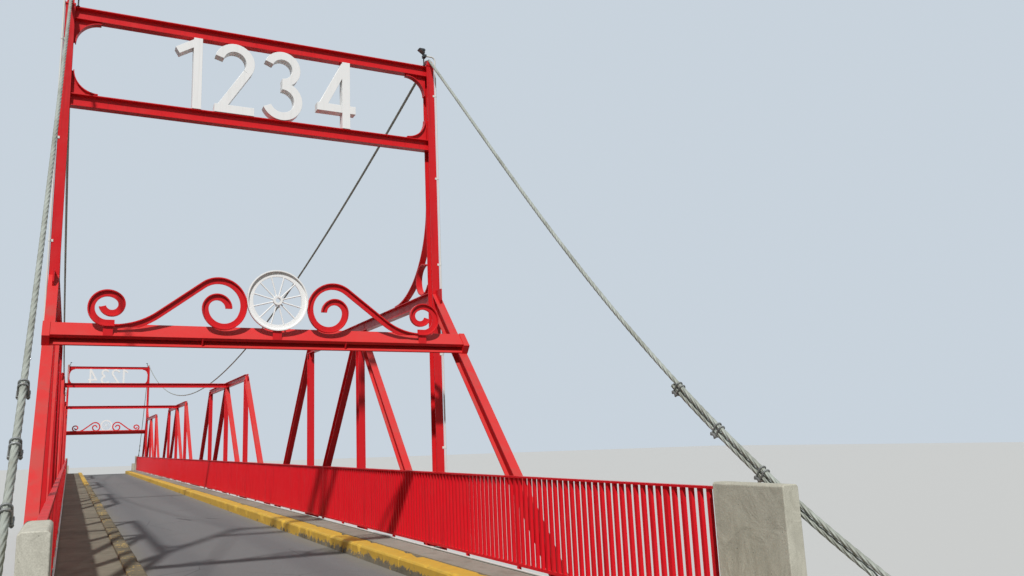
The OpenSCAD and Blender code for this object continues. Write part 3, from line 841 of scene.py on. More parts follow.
def both_ends(near: Mesh) -> tuple[tuple[str, Mesh], ...]:
    """Copies a near piece to the far end, turned half a turn.

    Args:
        near: The near piece.

    Returns:
        The name of each end with its piece.
    """
    far = near.copy()
    half_turn = Matrix.Rotation(math.pi, 3, "Z")
    bmesh.ops.rotate(far, verts=far.verts, cent=(0.0, 0.0, 0.0), matrix=half_turn)
    return ("near", near), ("far", far)


# Cables


@dataclass
class CableRoute:
    """The line of one cable from its tail round the anchor, up over the tower and down to mid-span."""

    rope_r: float = 0.011
    saddle_r: float = 0.036
    thimble_r: float = 0.026
    seat: float = 0.0006
    gap: float = 0.003
    loop_l: float = 0.320
    anchor_y: float = 16.487
    anchor_z: float = 2.060
    low_z: float = 3.920
    clevis_sag: float = 0.150
    stay_sag: float = 0.206
    stay_skew: float = 0.113
    stay_steps: int = 16
    tail_steps: float = 4.15
    clip_steps: tuple[int, ...] = (2, 3, 4)
    tail_points: int = 40
    loop_points: int = 24
    stay_points: int = 160
    saddle_points: int = 16
    span_points: int = 240
    stay: list[Vector] = field(default_factory=list)

    def __post_init__(self) -> None:
        """Works out the slopes and the points that the pieces share. Vectors are (along, up)."""
        run = self.anchor_y - TOWER_Y
        rise = TOWER_TOP - self.anchor_z
        self.slope = math.atan2(rise, run)
        self.foot_slope = self.slope - math.atan(4 * self.clevis_sag / math.hypot(run, rise))
        self.wrap_r = self.saddle_r + self.rope_r + self.seat
        self.turn_r = self.thimble_r + self.rope_r + self.seat
        self.saddle_c = Vector((-TOWER_Y, TOWER_TOP + EPS))
        self.anchor_c = Vector((-self.anchor_y, self.anchor_z))
        fall = math.atan(2 * (TOWER_TOP + self.wrap_r - self.low_z) / TOWER_Y)
        self.main_angle = math.pi / 2 - fall
        self.main_top = self.saddle_c + self.wrap_r * direction(self.main_angle)
        along = direction(self.foot_slope)
        side = Vector((-along.y, along.x))
        self.stay_low = self.anchor_c + self.loop_l * along + (self.rope_r + self.gap / 2) * side
        for _ in range(3):
            self.stay_top = self.saddle_c + self.wrap_r * direction(math.pi / 2 + self.slope)
            way = self.stay_top - self.stay_low
            self.slope = math.atan2(way.y + 4 * (self.stay_sag - self.stay_skew), way.x)
        self.below = -(2 * self.rope_r + self.gap) * side
        self.stay = [self.stay_at(i / self.stay_steps) for i in range(self.stay_steps + 1)]

    def stay_at(self, t: float) -> Vector:
        """Finds a point of the sagging backstay.

        Args:
            t: Share of the way from the anchor to the tower.

        Returns:
            The point.
        """
        point = self.stay_low.lerp(self.stay_top, t)
        point.y -= 4 * t * (1 - t) * (self.stay_sag + self.stay_skew * (1 - 2 * t))
        return point

    @staticmethod
    def arc(centre: Vector, radius: float, start: float, turn: float, count: int) -> list[Vector]:
        """Lists points along a clockwise arc, angles in radians."""
        return [centre + radius * direction(start - turn * i / count) for i in range(count + 1)]

    def half(self) -> list[Vector]:
        """Lists dense points from the tail to mid-span.

        Returns:
            The points.
        """
        spread = math.atan((self.turn_r - self.rope_r) / self.loop_l)
        start = self.foot_slope - math.pi / 2 + spread
        over = math.pi / 2 + self.slope
        tail, count = self.tail_steps / self.stay_steps, self.tail_points
        points = [self.stay_at(tail * (1 - i / count)) + self.below for i in range(count + 1)]
        points += self.arc(self.anchor_c, self.turn_r, start, math.pi + 2 * spread, self.loop_points)
        points += [self.stay_at(i / self.stay_points) for i in range(self.stay_points)]
        points += self.arc(self.saddle_c, self.wrap_r, over, over - self.main_angle, self.saddle_points)
        fall = self.main_top.y - self.low_z
        for i in range(1, self.span_points + 1):
            y = -TOWER_Y * (1 - i / self.span_points)
            if y > self.main_top.x:
                points.append(Vector((y, self.low_z + fall * (y / TOWER_Y) ** 2)))
        return points

    def whole(self, x: float, step: float) -> list[Vector]:
        """Lists points at an even step along the whole cable.

        Args:
            x: Place of the cable across the road.
            step: Distance between points.

        Returns:
            The points, from the near tail to the far tail.
        """
        half = self.half()
        line = half + [Vector((-p.x, p.y)) for p in reversed(half[:-1])]
        points = [line[0]]
        left = step
        for a, b in zip(line, line[1:]):
            length = (b - a).length
            while left < length:
                points.append(a.lerp(b, left / length))
                left += step
            left -= length
        return [Vector((x, p.x, p.y)) for p in points]


@dataclass
class Ropes:
    """The two main cables as six-strand wire rope, laid in a right-hand twist."""

    route: CableRoute
    finish: Material
    step: float = 0.0145
    lay: float = 0.26
    strands: int = 6
    per_strand: int = 4
    groove: float = 0.72

    @staticmethod
    def line(curve: bpy.types.Curve, points: Sequence[Vector]) -> bpy.types.Spline:
        """Adds a straight-edged line to a curve.

        Args:
            curve: The curve.
            points: Points of the line.

        Returns:
            The line.
        """
        line = curve.splines.new("POLY")
        line.points.add(len(points) - 1)
        for spot, point in zip(line.points, points):
            spot.co = (*point, 1.0)
        return line

    def section(self) -> Object:
        """Draws the rope's lobed section as a closed curve for the bevel.

        Returns:
            The helper object.
        """
        ring = self.route.rope_r * 2 / 3
        strand = self.route.rope_r / 3
        count = self.strands * self.per_strand
        points = []
        for i in range(count):
            away = math.radians(((i / self.per_strand) % 1.0 - 0.5) * 360.0 / self.strands)
            reach = ring * math.cos(away) + math.sqrt(max(strand**2 - (ring * math.sin(away)) ** 2, 0.0))
            reach = max(reach, self.groove * self.route.rope_r)
            points.append((reach * direction(2 * math.pi * i / count)).to_3d())
        curve = bpy.data.curves.new("rope_section", "CURVE")
        self.line(curve, points).use_cyclic_u = True
        return link("rope_section", curve)

    def lay_rope(self, name: str, x: float, node: str, section: Object) -> None:
        """Sweeps the section along one cable and stands it in for the frame's node.

        Args:
            name: Name of the rope.
            x: Its place across the road.
            node: The frame's node.
            section: The section curve.
        """
        curve = bpy.data.curves.new(name, "CURVE")
        curve.dimensions = "3D"
        curve.twist_mode = "MINIMUM"
        curve.bevel_mode = "OBJECT"
        curve.bevel_object = section
        curve.use_fill_caps = True
        for i, spot in enumerate(self.line(curve, self.route.whole(x, self.step)).points):
            spot.tilt = 2 * math.pi * i * self.step / self.lay
        helper = link(name + "_line", curve)
        bm = bmesh.new()
        pour(bm, baked(helper))
        remove(helper)
        settle(bm)
        rope = add_piece(name, bm, [self.finish], smooth=True)
        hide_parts(node)

    def build(self) -> None:
        """Builds both cables."""
        section = self.section()
        self.lay_rope("rope_left", -TRUSS_X, "cable_left", section)
        self.lay_rope("rope_right", TRUSS_X, "cable_right", section)
        remove(section)


# Figures of the sign frames


@dataclass(frozen=True)
class Stroke:
    """One stroke of a figure: a straight bar, or an arc when a radius is given. The sweep is in degrees."""

    start: Point
    end: Point = (0.0, 0.0)
    radius: float = 0.0
    sweep: Point = (0.0, 0.0)
    width: float = 0.060


@dataclass
class Figures:
    """Plain numerals cut from thick white plate, standing between the two sign beams."""

    finish: Material
    height: float = 0.526
    depth: float = 0.070
    foot_z: float = 5.0092
    bevel: float = 0.0016
    arc_step: float = 5.0

    def shapes(self) -> list[tuple[float, list[Stroke]]]:
        """Lists each numeral.

        Returns:
            The place of each left edge, with the strokes.
        """
        h, mid = self.height, Stroke.width / 2
        one = [
            Stroke((0.150, 0.0), (0.150, h)),
            Stroke((0.012, h - 0.112), (0.150, h - 0.026), width=0.052),
        ]
        two = [
            Stroke((0.140, h - mid - 0.110), radius=0.110, sweep=(165.0, -38.0)),
            Stroke((0.2267, h - mid - 0.1777), (0.046, 0.036)),
            Stroke((0.004, mid), (0.280, mid)),
        ]
        three = [
            Stroke((0.135, h - mid - 0.103), radius=0.103, sweep=(158.0, -90.0)),
            Stroke((0.135, mid + 0.118), radius=0.118, sweep=(90.0, -156.0)),
        ]
        four = [
            Stroke((0.222, 0.0), (0.222, h)),
            Stroke((0.0, 0.150), (0.295, 0.150)),
            Stroke((0.034, 0.150), (0.214, h - 0.026)),
        ]
        return [(-0.620, one), (-0.355, two), (-0.010, three), (0.385, four)]

    def solid(self, stroke: Stroke, left: float) -> Object:
        """Makes one stroke as a closed solid, upright in the plane of the near tower.

        Args:
            stroke: The stroke.
            left: Left edge of its numeral.

        Returns:
            The helper object.
        """
        bm = bmesh.new()
        base = Vector((left, -TOWER_Y, self.foot_z))
        start, end = upright(stroke.start), upright(stroke.end)
        half = stroke.width / 2
        deep = Vector((0.0, self.depth / 2, 0.0))
        if stroke.radius:
            first, last = (math.radians(a) for a in stroke.sweep)
            out = upright(direction(first))
            inner, outer = (base + start + (stroke.radius + k * half) * out for k in (-1, 1))
            section = new_face(bm, (inner - deep, outer - deep, outer + deep, inner + deep))
            steps = max(8, round(math.degrees(abs(last - first)) / self.arc_step))
            sweep(bm, section, base + start, last - first, steps)
        else:
            along = (end - start).normalized()
            wide = Vector((-along.z, 0.0, along.x)) * half
            around = (wide - deep, -wide - deep, deep - wide, wide + deep)
            plate(bm, [base + start + out for out in around], end - start)
        settle(bm)
        return link("stroke", to_mesh("stroke", bm))

    def joined(self, solids: Sequence[Object]) -> bpy.types.Mesh:
        """Unites closed solids.

        Args:
            solids: Helper objects, which are deleted.

        Returns:
            One mesh of them all.
        """
        base = solids[0]
        for other in solids[1:]:
            union = base.modifiers.new("union", "BOOLEAN")
            union.operation = "UNION"
            union.solver = "EXACT"
            union.object = other
        mesh = baked(base)
        remove(*solids)
        return mesh

    def build(self) -> None:
        """Builds the numerals of the near tower, and turned copies for the far tower."""
        near = bmesh.new()
        for left, strokes in self.shapes():
            pour(near, self.joined([self.solid(stroke, left) for stroke in strokes]))
        merge_flats(near, 0.5)
        for vert in near.verts:
            vert.co.z = min(max(vert.co.z, self.foot_z), self.foot_z + self.height)
        round_edges(near, self.bevel, 2, 40.0)
        for end, bm in both_ends(near):
            add_piece(f"figures_{end}", bm, [self.finish])


# Portal beam, scrolls and wheel


@dataclass
class AngleBar:
    """An angle bar bent flat into arcs: its heel follows the run, and one leg lies flat at the back."""

    bm: Mesh
    at: Vector
    heading: float
    leg_side: int
    back_y: float
    depth: float = 0.024
    leg: float = 0.040
    wall: float = 0.008
    arc_step: float = 3.5
    last: Elements = field(default_factory=list)

    def __post_init__(self) -> None:
        """Draws the section at the start of the run. Headings are degrees, and points (across, up)."""
        side = upright(direction(math.radians(self.heading - 90.0 * self.leg_side)))
        start = upright(self.at) + Vector((0.0, self.back_y, 0.0))
        outline = [(0.0, 0.0), (self.leg, 0.0), (self.leg, self.wall), (self.wall, self.wall),
                   (self.wall, self.depth), (0.0, self.depth)]
        corners = [start + side * out - Vector((0.0, forward, 0.0)) for out, forward in outline]
        self.last = new_face(self.bm, corners)

    def turn(self, radius: float, angle: float) -> None:
        """Bends the bar through an arc.

        Args:
            radius: Radius of the heel.
            angle: Degrees, to the left when positive.
        """
        to_centre = math.radians(self.heading + (90.0 if angle > 0 else -90.0))
        centre = self.at + radius * direction(to_centre)
        steps = max(6, round(abs(angle) / self.arc_step))
        self.last = sweep(self.bm, self.last, upright(centre), math.radians(angle), steps)
        self.at = centre + Matrix.Rotation(math.radians(angle), 2) @ (self.at - centre)
        self.heading += angle

    def ahead(self, length: float) -> None:
        """Runs the bar straight on.

        Args:
            length: Length of the run.
        """
        push = direction(math.radians(self.heading)) * length
        self.last = sweep(self.bm, self.last, push=upright(push))
        self.at = self.at + push

    def follow(self, run: Iterable[Point]) -> None:
        """Follows a run.

        Args:
            run: The (radius, angle) of each arc, or (0, length) of each straight.
        """
        for radius, amount in run:
            if radius:
                self.turn(radius, amount)
            else:
                self.ahead(amount)


@dataclass
class PortalFront:
    """The beam across the end posts, with its two scrolls and the spoked wheel."""

    red: Material
    white: Material
    slope: float = math.atan2(TRUSS_RISE, PANEL_L)
    foot_z: float = 3.301
    depth: float = 0.060
    front_w: float = 0.107
    step: float = 0.025
    lip: float = 0.024
    plate_t: float = 0.008
    half: float = 1.327
    rib_x: float = 0.450
    strap_w: float = 0.040
    strap_proud: float = 0.005
    foot_t: float = 0.010
    bar_depth: float = 0.024
    wheel_z: float = 3.608
    wheel_r: float = 0.193
    rim_w: float = 0.040
    hub_r: float = 0.030
    hub_wall: float = 0.014
    spokes: int = 12
    spoke_r: float = 0.0045
    scroll_start: Point = (0.2818, -0.064)
    scroll_run: tuple[Point, ...] = (
        (0.090, -180.0), (0.133, -150.0), (0.172, -157.0), (0.0, 0.320), (0.410, 35.0),
    )
    scroll_end_x: float = 0.720
    curl_x: float = 0.950
    curl_run: tuple[Point, ...] = ((0.0, 0.042), (0.108, 225.0), (0.074, 210.0))
    curl_foot: Point = (0.984, 0.054)
    wheel_foot_w: float = 0.056
    beam_bevel: float = 0.0009
    bar_bevel: float = 0.0007
    wheel_bevel: float = 0.0008
    rim_facets: int = 144
    hub_facets: int = 64
    spoke_facets: int = 16
    spoke_sunk: float = 0.004
    spoke_back: float = 0.005

    def __post_init__(self) -> None:
        """Works out where the beam lies on the end posts, and where the ornament stands on it."""
        y = -TOWER_Y - PANEL_L + (self.foot_z - BOTTOM_AXIS_Z) / math.tan(self.slope)
        y -= MEMBER_D / 2 / math.sin(self.slope) + EPS
        self.place = Matrix.Translation((0.0, y, self.foot_z)) @ Matrix.Rotation(self.slope, 4, "X")
        self.seat = self.place @ Vector((0.0, self.step, self.depth))
        self.back_y = self.seat.y + self.foot_t

    def extrude(self, bm: Mesh, outline: Sequence[Point], low: float, high: float) -> None:
        """Extrudes an outline, drawn as (up the slope, square to it), from low to high across the road."""
        corners = [self.place @ Vector((low, u, v)) for u, v in outline]
        plate(bm, corners, (high - low, 0.0, 0.0))

    def beam(self) -> Mesh:
        """Makes the beam: back plate, web, lipped front plate, ribs and the straps round its ends.

        Returns:
            The mesh.
        """
        bm = bmesh.new()
        t, low, top = self.plate_t, self.step, self.step + self.front_w
        front, lip, web = self.depth, self.depth - self.lip, self.step + self.front_w / 2
        self.extrude(bm, [
            (0.0, 0.0), (top, 0.0), (top, t), (web + t / 2, t), (web + t / 2, front - t),
            (top - t, front - t), (top - t, lip), (top, lip), (top, front), (low, front), (low, lip),
            (low + t, lip), (low + t, front - t), (web - t / 2, front - t), (web - t / 2, t), (0.0, t)
        ], -self.half, self.half)
        rib = [(0.004, 0.001), (low + 0.002, front - 0.001), (web, front - 0.001), (web, 0.001)]
        proud = front + self.strap_proud
        strap = [(-0.003, 0.0), (0.009, proud), (top + 0.003, proud), (top + 0.003, 0.0)]
        for side in (-1, 1):
            self.extrude(bm, rib, side * self.rib_x - t / 2, side * self.rib_x + t / 2)
            ends = sorted((side * (self.half - self.strap_w), side * (self.half + 0.001)))
            self.extrude(bm, strap, *ends)
        round_edges(bm, self.beam_bevel)
        return bm

    def stand(self, bm: Mesh, middle: float, wide: float, top: float) -> None:
        """Adds a plate that stands on the sloping front plate and carries a piece of the ornament.

        Args:
            bm: The mesh that gets it.
            middle: Its middle across the road.
            wide: Its width.
            top: Level of its top.
        """
        low = self.seat.z + EPS / math.cos(self.slope)
        rise = self.foot_t * math.tan(self.slope)
        outline = [(self.seat.y, low), (self.back_y, low + rise), (self.back_y, top), (self.seat.y, top)]
        plate(bm, [(middle - wide / 2, y, z) for y, z in outline], (wide, 0.0, 0.0))

    def scrolls(self) -> Mesh:
        """Makes both scrolls, each of two bent angle bars on one foot, and the foot under the wheel.

        Returns:
            The mesh.
        """
        foot_z = self.wheel_z - self.wheel_r - 0.002
        x, dz = self.scroll_start
        bm = bmesh.new()
        scroll = AngleBar(bm, Vector((x, self.wheel_z + dz)), 90.0, 1, self.back_y, self.bar_depth)
        scroll.follow(self.scroll_run)
        outer = [f for f in bm.faces if all(v.co.x > self.scroll_end_x for v in f.verts)]
        parts = {*outer, *(e for f in outer for e in f.edges), *(v for f in outer for v in f.verts)}
        bmesh.ops.bisect_plane(bm, geom=list(parts), plane_co=(0.0, 0.0, foot_z), plane_no=UP, dist=1e-6,
                               clear_inner=True)
        close_holes(bm)
        curl = AngleBar(bm, Vector((self.curl_x, foot_z)), 0.0, -1, self.back_y, self.bar_depth)
        curl.follow(self.curl_run)
        self.stand(bm, *self.curl_foot, foot_z + 0.004)
        mirror(bm, "X")
        self.stand(bm, 0.0, self.wheel_foot_w, self.wheel_z - self.wheel_r - EPS)
        settle(bm)
        round_edges(bm, self.bar_bevel, 1, 40.0)
        return bm

    def ring(self, bm: Mesh, section: Sequence[Point], steps: int) -> None:
        """Turns a section once about the wheel's axis.

        Args:
            bm: The mesh that gets the ring.
            section: Its corners as (radius, forward).
            steps: Number of segments.
        """
        middle = Vector((0.0, self.back_y, self.wheel_z))
        corners = [middle + Vector((radius, -forward, 0.0)) for radius, forward in section]
        sweep(bm, new_face(bm, corners), middle, 2 * math.pi, steps, merge=True)

    def wheel(self) -> Mesh:
        """Makes the wheel: an angle bent into a ring, a hub and round spokes.

        Returns:
            The mesh.
        """
        bm = bmesh.new()
        r, t, d = self.wheel_r, self.plate_t, self.bar_depth
        rim, hub, bore = r - self.rim_w, self.hub_r, self.hub_r - self.hub_wall
        self.ring(bm, [(r, 0.0), (r, d), (r - t, d), (r - t, t), (rim, t), (rim, 0.0)], self.rim_facets)
        self.ring(bm, [(hub, 0.0), (hub, d), (bore, d), (bore, 0.0)], self.hub_facets)
        settle(bm)
        round_edges(bm, self.wheel_bevel, 2, 40.0)
        length = rim - hub + 2 * self.spoke_sunk
        middle = Matrix.Translation((0.0, self.back_y - self.spoke_back, self.wheel_z))
        lie = Matrix.Translation((0.0, 0.0, hub - self.spoke_sunk + length / 2))
        for i in range(self.spokes):
            turn = Matrix.Rotation((i + 0.5) * 2 * math.pi / self.spokes, 4, "Y")
            rod(bm, self.spoke_r, length, self.spoke_facets, middle @ turn @ lie)
        return bm

    def build(self) -> None:
        """Builds the near portal, and a turned copy for the far one."""
        pieces = (
            ("lipped_beam", "portal_beam", self.beam(), self.red, "red_paint"),
            ("angle_scrolls", "portal_scrolls", self.scrolls(), self.red, "red_paint"),
            ("rimmed_wheel", "portal_wheel", self.wheel(), self.white, "white_paint"),
        )
        for name, node, near, finish, slot in pieces:
            for end, bm in both_ends(near):
                piece = add_piece(f"{name}_{end}", bm, [finish])
                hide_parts(f"{node}_{end}")


# Kerbs


@dataclass
class Kerb:
    """One cast kerb with joints, chipped edges and a hand-finished top, in place of the frame's strip."""

    node: str
    side: int
    finish: Material
    block_l: float = 1.0
    rings: int = 22
    chamfer: float = 0.016
    joint: float = 0.005
    pinch: float = 0.006
    wave: float = 0.0022
    chip: float = 0.034

    def section(self, low: Vector, high: Vector) -> list[Triple]:
        """Lists the corners of the section at the near end, with a few points along each side.

        Args:
            low: Lowest corner of the frame's strip.
            high: Highest corner.

        Returns:
            The corners, in order.
        """
        road, out = (low.x, high.x) if self.side > 0 else (high.x, low.x)
        into, top = self.chamfer * self.side, high.z
        corners = [
            (road, low.z), (road, low.z + 0.05), (road, top - self.chamfer),
            (road + into * 0.35, top - self.chamfer * 0.38), (road + into, top), (road + into * 2.6, top),
            ((road + out) / 2, top), (out - 0.012 * self.side, top), (out, top - 0.004), (out, low.z),
        ]
        return [(x, low.y, z) for x, z in corners]

    def weather(self, bm: Mesh, low: Vector, high: Vector, blocks: int) -> None:
        """Draws the joints in, and roughens the kerb inwards.

        Args:
            bm: The swept kerb.
            low: Lowest corner of the frame's strip.
            high: Highest corner.
            blocks: Number of blocks along it.
        """
        steps = blocks * self.rings
        length = high.y - low.y
        block_l = length / blocks
        middle = (low.x + high.x) / 2
        seed = Vector((3.1 * self.side, 0.0, 7.7))
        for vert in bm.verts:
            ring = round((vert.co.y - low.y) / length * steps)
            within = ring % self.rings
            start = low.y + ring // self.rings * block_l
            pinch = self.pinch if within == 0 and 0 < ring < steps else 0.0
            if within == 1:
                vert.co.y = start + self.joint
            elif within == self.rings - 1:
                vert.co.y = start + block_l - self.joint
            wave = (noise.noise(vert.co * 2.3 + seed) + 1.0) * self.wave
            chip = max(noise.noise(vert.co * 9.0 + seed) - 0.22, 0.0) * self.chip
            inward = Vector((middle - vert.co.x, 0.0, 0.0)).normalized()
            at_top = vert.co.z > high.z - self.chamfer * 1.2
            at_edge = abs(vert.co.x - middle) > (high.x - low.x) / 2 - self.chamfer * 1.5
            if vert.co.z <= low.z + 0.001:
                continue
            vert.co += inward * (wave * 0.6 + pinch * (0.5 if at_edge else 0.0))
            if at_top:
                vert.co.z -= wave + pinch * 0.5
            if at_top and at_edge:
                vert.co += inward * chip - UP * (chip * 0.8)

    def build(self) -> None:
        """Sweeps the section along the bridge and weathers it."""
        low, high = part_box(self.node)
        length = high.y - low.y
        blocks = round(length / self.block_l)
        steps = blocks * self.rings
        bm = bmesh.new()
        sweep(bm, new_face(bm, self.section(low, high)), steps=steps, push=(0.0, length / steps, 0.0))
        self.weather(bm, low, high, blocks)
        settle(bm)
        kerb = add_piece("cast_" + self.node, bm, [self.finish])
        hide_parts(self.node)


# Concrete


@dataclass
class Castings:
    """Concrete pieces of the frame with worn edges."""

    nodes: dict[str, Object]
    trowelled: Material
    boarded: Material

    def soften(self, node: str, width: float, finish: Material) -> None:
        """Replaces a node with a rounded copy of itself.

        Args:
            node: Name of the frame's node.
            width: Width of the bevel along every edge.
            finish: Material of the copy.
        """
        bm = bmesh.new()
        bm.from_mesh(self.nodes[node].data)
        merge_flats(bm, 1.0)
        round_edges(bm, width)
        copy = add_piece("worn_" + node, bm, [finish])
        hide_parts(node)

    def build(self) -> None:
        """Builds every softened casting."""
        self.soften("pilasters", 0.0035, self.trowelled)
        self.soften("anchor_blocks", 0.006, self.boarded)
        for name in ("pier_1", "pier_2", "pier_3", "abutment_near", "abutment_far"):
            self.soften(name, 0.010, self.boarded)


# Rope clips, nuts and bolts


@dataclass
class RopeClips:
    """Wire rope clips: two U-bolts over the stay, and a saddle under the returned tail."""

    route: CableRoute
    finish: Material
    rod_r: float = 0.0032
    half_l: float = 0.011
    tip: float = 0.009
    saddle_over: Point = (0.006, 0.005)
    saddle_half_t: float = 0.004

    def __post_init__(self) -> None:
        """Works out the legs' distance from the rope's middle, and the level under the lower rope."""
        self.leg_x = self.route.rope_r + self.rod_r + EPS
        self.base = -2 * self.route.rope_r - self.route.gap / 2

    def places(self) -> list[Matrix]:
        """Lists the places of the clips of the near right stay, with Y along the rope.

        Returns:
            The places.
        """
        places = []
        for i in self.route.clip_steps:
            middle = self.route.stay[i] + self.route.below / 2
            rise = self.route.stay[i + 1] - self.route.stay[i - 1]
            turn = Matrix.Rotation(math.atan2(rise.y, rise.x), 4, "X")
            places.append(Matrix.Translation((TRUSS_X, middle.x, middle.y)) @ turn)
        return places

    def bolt(self, bm: Mesh, y: float) -> None:
        """Adds a U-bolt that lies over the upper rope.

        Args:
            bm: The mesh that gets it.
            y: Its place along the rope.
        """
        top = self.route.rope_r + self.route.gap / 2
        low = self.base - self.tip
        start = Matrix.Translation((self.leg_x, y, top))
        ring = bmesh.ops.create_circle(bm, segments=10, radius=self.rod_r, matrix=start)["verts"]
        edges = list({e for v in ring for e in v.link_edges})
        sweep(bm, [*ring, *edges], (0.0, y, top), math.pi, 12)
        close_holes(bm)
        for side in (-1, 1):
            place = Matrix.Translation((side * self.leg_x, y, (low + top) / 2))
            rod(bm, self.rod_r, top - low, 10, place)

    def clip(self) -> Mesh:
        """Makes one clip at the origin.

        Returns:
            The mesh.
        """
        bm = bmesh.new()
        wide, long = self.leg_x + self.saddle_over[0], self.half_l + self.saddle_over[1]
        thick = self.saddle_half_t
        block(bm, (-wide, -long, self.base - thick), (wide, long, self.base + thick))
        round_edges(bm, 0.0012)
        for y in (-self.half_l, self.half_l):
            self.bolt(bm, y)
        return bm

    def build(self) -> None:
        """Builds the clips of the near right stay and mirrors them to the other three."""
        bm = bmesh.new()
        stamp(bm, to_mesh("clip", self.clip()), self.places())
        to_corners(bm)
        clips = add_piece("rope_clips", bm, [self.finish])
        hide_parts("cable_clamps")


@dataclass
class Fasteners:
    """Hexagon nuts with washers, at every joint where the real bridge is bolted."""

    route: CableRoute
    rope_clips: RopeClips
    finish: Material
    clip_foot: float = 0.0038
    bearing_z: float = SHELF_Z + 0.012
    bearing_y: tuple[float, ...] = (-14.442, -7.422, -7.154, -0.134)
    bearing_holes: Point = (0.042, 0.037)
    post_foot_z: float = 1.8233
    post_holes: Point = (0.018, 0.018)
    anchor_plate: float = -0.143
    anchor_holes: Point = (0.045, 0.050)
    pin_x: float = 0.043
    cheek: Point = (0.022, 0.016)

    @staticmethod
    def nut(size: float) -> bpy.types.Mesh:
        """Makes a nut on a washer, with the end of its bolt. It stands on z = 0.

        Args:
            size: Half the nut's width.

        Returns:
            The mesh.
        """
        bm = bmesh.new()
        for sides, wide, tall in ((12, 1.35, 0.18), (6, 1.0, 1.05), (8, 0.55, 1.5)):
            rod(bm, wide * size, tall * size, sides, Matrix.Translation((0.0, 0.0, tall * size / 2)))
        return to_mesh("nut", bm)

    @staticmethod
    def four(middle: Triple, x: float, y: float) -> list[Vector]:
        """Lists four points round a middle, in a level rectangle."""
        return [Vector(middle) + Vector((i * x, j * y, 0.0)) for i in (-1, 1) for j in (-1, 1)]

    def spots(self) -> list[tuple[float, Vector, list[Vector]]]:
        """Lists the nuts of the near right quarter: on clips, bearings, the tower's foot and the anchor.

        Returns:
            The half width of the nuts of each group, the way they point and where they stand.
        """
        clips, route = self.rope_clips, self.route
        legs = self.four((0.0, 0.0, clips.base - self.clip_foot), clips.leg_x, clips.half_l)
        spots = [(0.005, place.to_3x3() @ -UP, [place @ leg for leg in legs]) for place in clips.places()]
        for y in self.bearing_y:
            spots.append((0.005, UP, self.four((TRUSS_X, y, self.bearing_z), *self.bearing_holes)))
        spots.append((0.006, UP, self.four((TRUSS_X, -TOWER_Y, self.post_foot_z), *self.post_holes)))
        turn = Matrix.Rotation(route.foot_slope, 4, "X")
        place = Matrix.Translation((TRUSS_X, -route.anchor_y, route.anchor_z)) @ turn
        x, z = self.anchor_holes
        holes = [place @ Vector((i * x, self.anchor_plate, j * z)) for i in (-1, 1) for j in (-1, 1)]
        spots.append((0.009, turn.to_3x3() @ Vector((0.0, 1.0, 0.0)), holes))
        for side in (-1, 1):
            out = Vector((side, 0.0, 0.0))
            cheek = Vector((TRUSS_X + side * self.cheek[0], -TOWER_Y, TOWER_TOP + self.cheek[1]))
            spots += [(0.013, out, [place @ Vector((side * self.pin_x, 0.0, 0.0))]), (0.007, out, [cheek])]
        return spots

    def build(self) -> None:
        """Builds the nuts of one quarter of the bridge and mirrors them to the other three."""
        bm = bmesh.new()
        for size, out, points in self.spots():
            turn = UP.rotation_difference(out).to_matrix().to_4x4()
            stamp(bm, self.nut(size), [Matrix.Translation(point) @ turn for point in points])
        to_corners(bm)
        nuts = add_piece("nuts", bm, [self.finish])


# Lamps


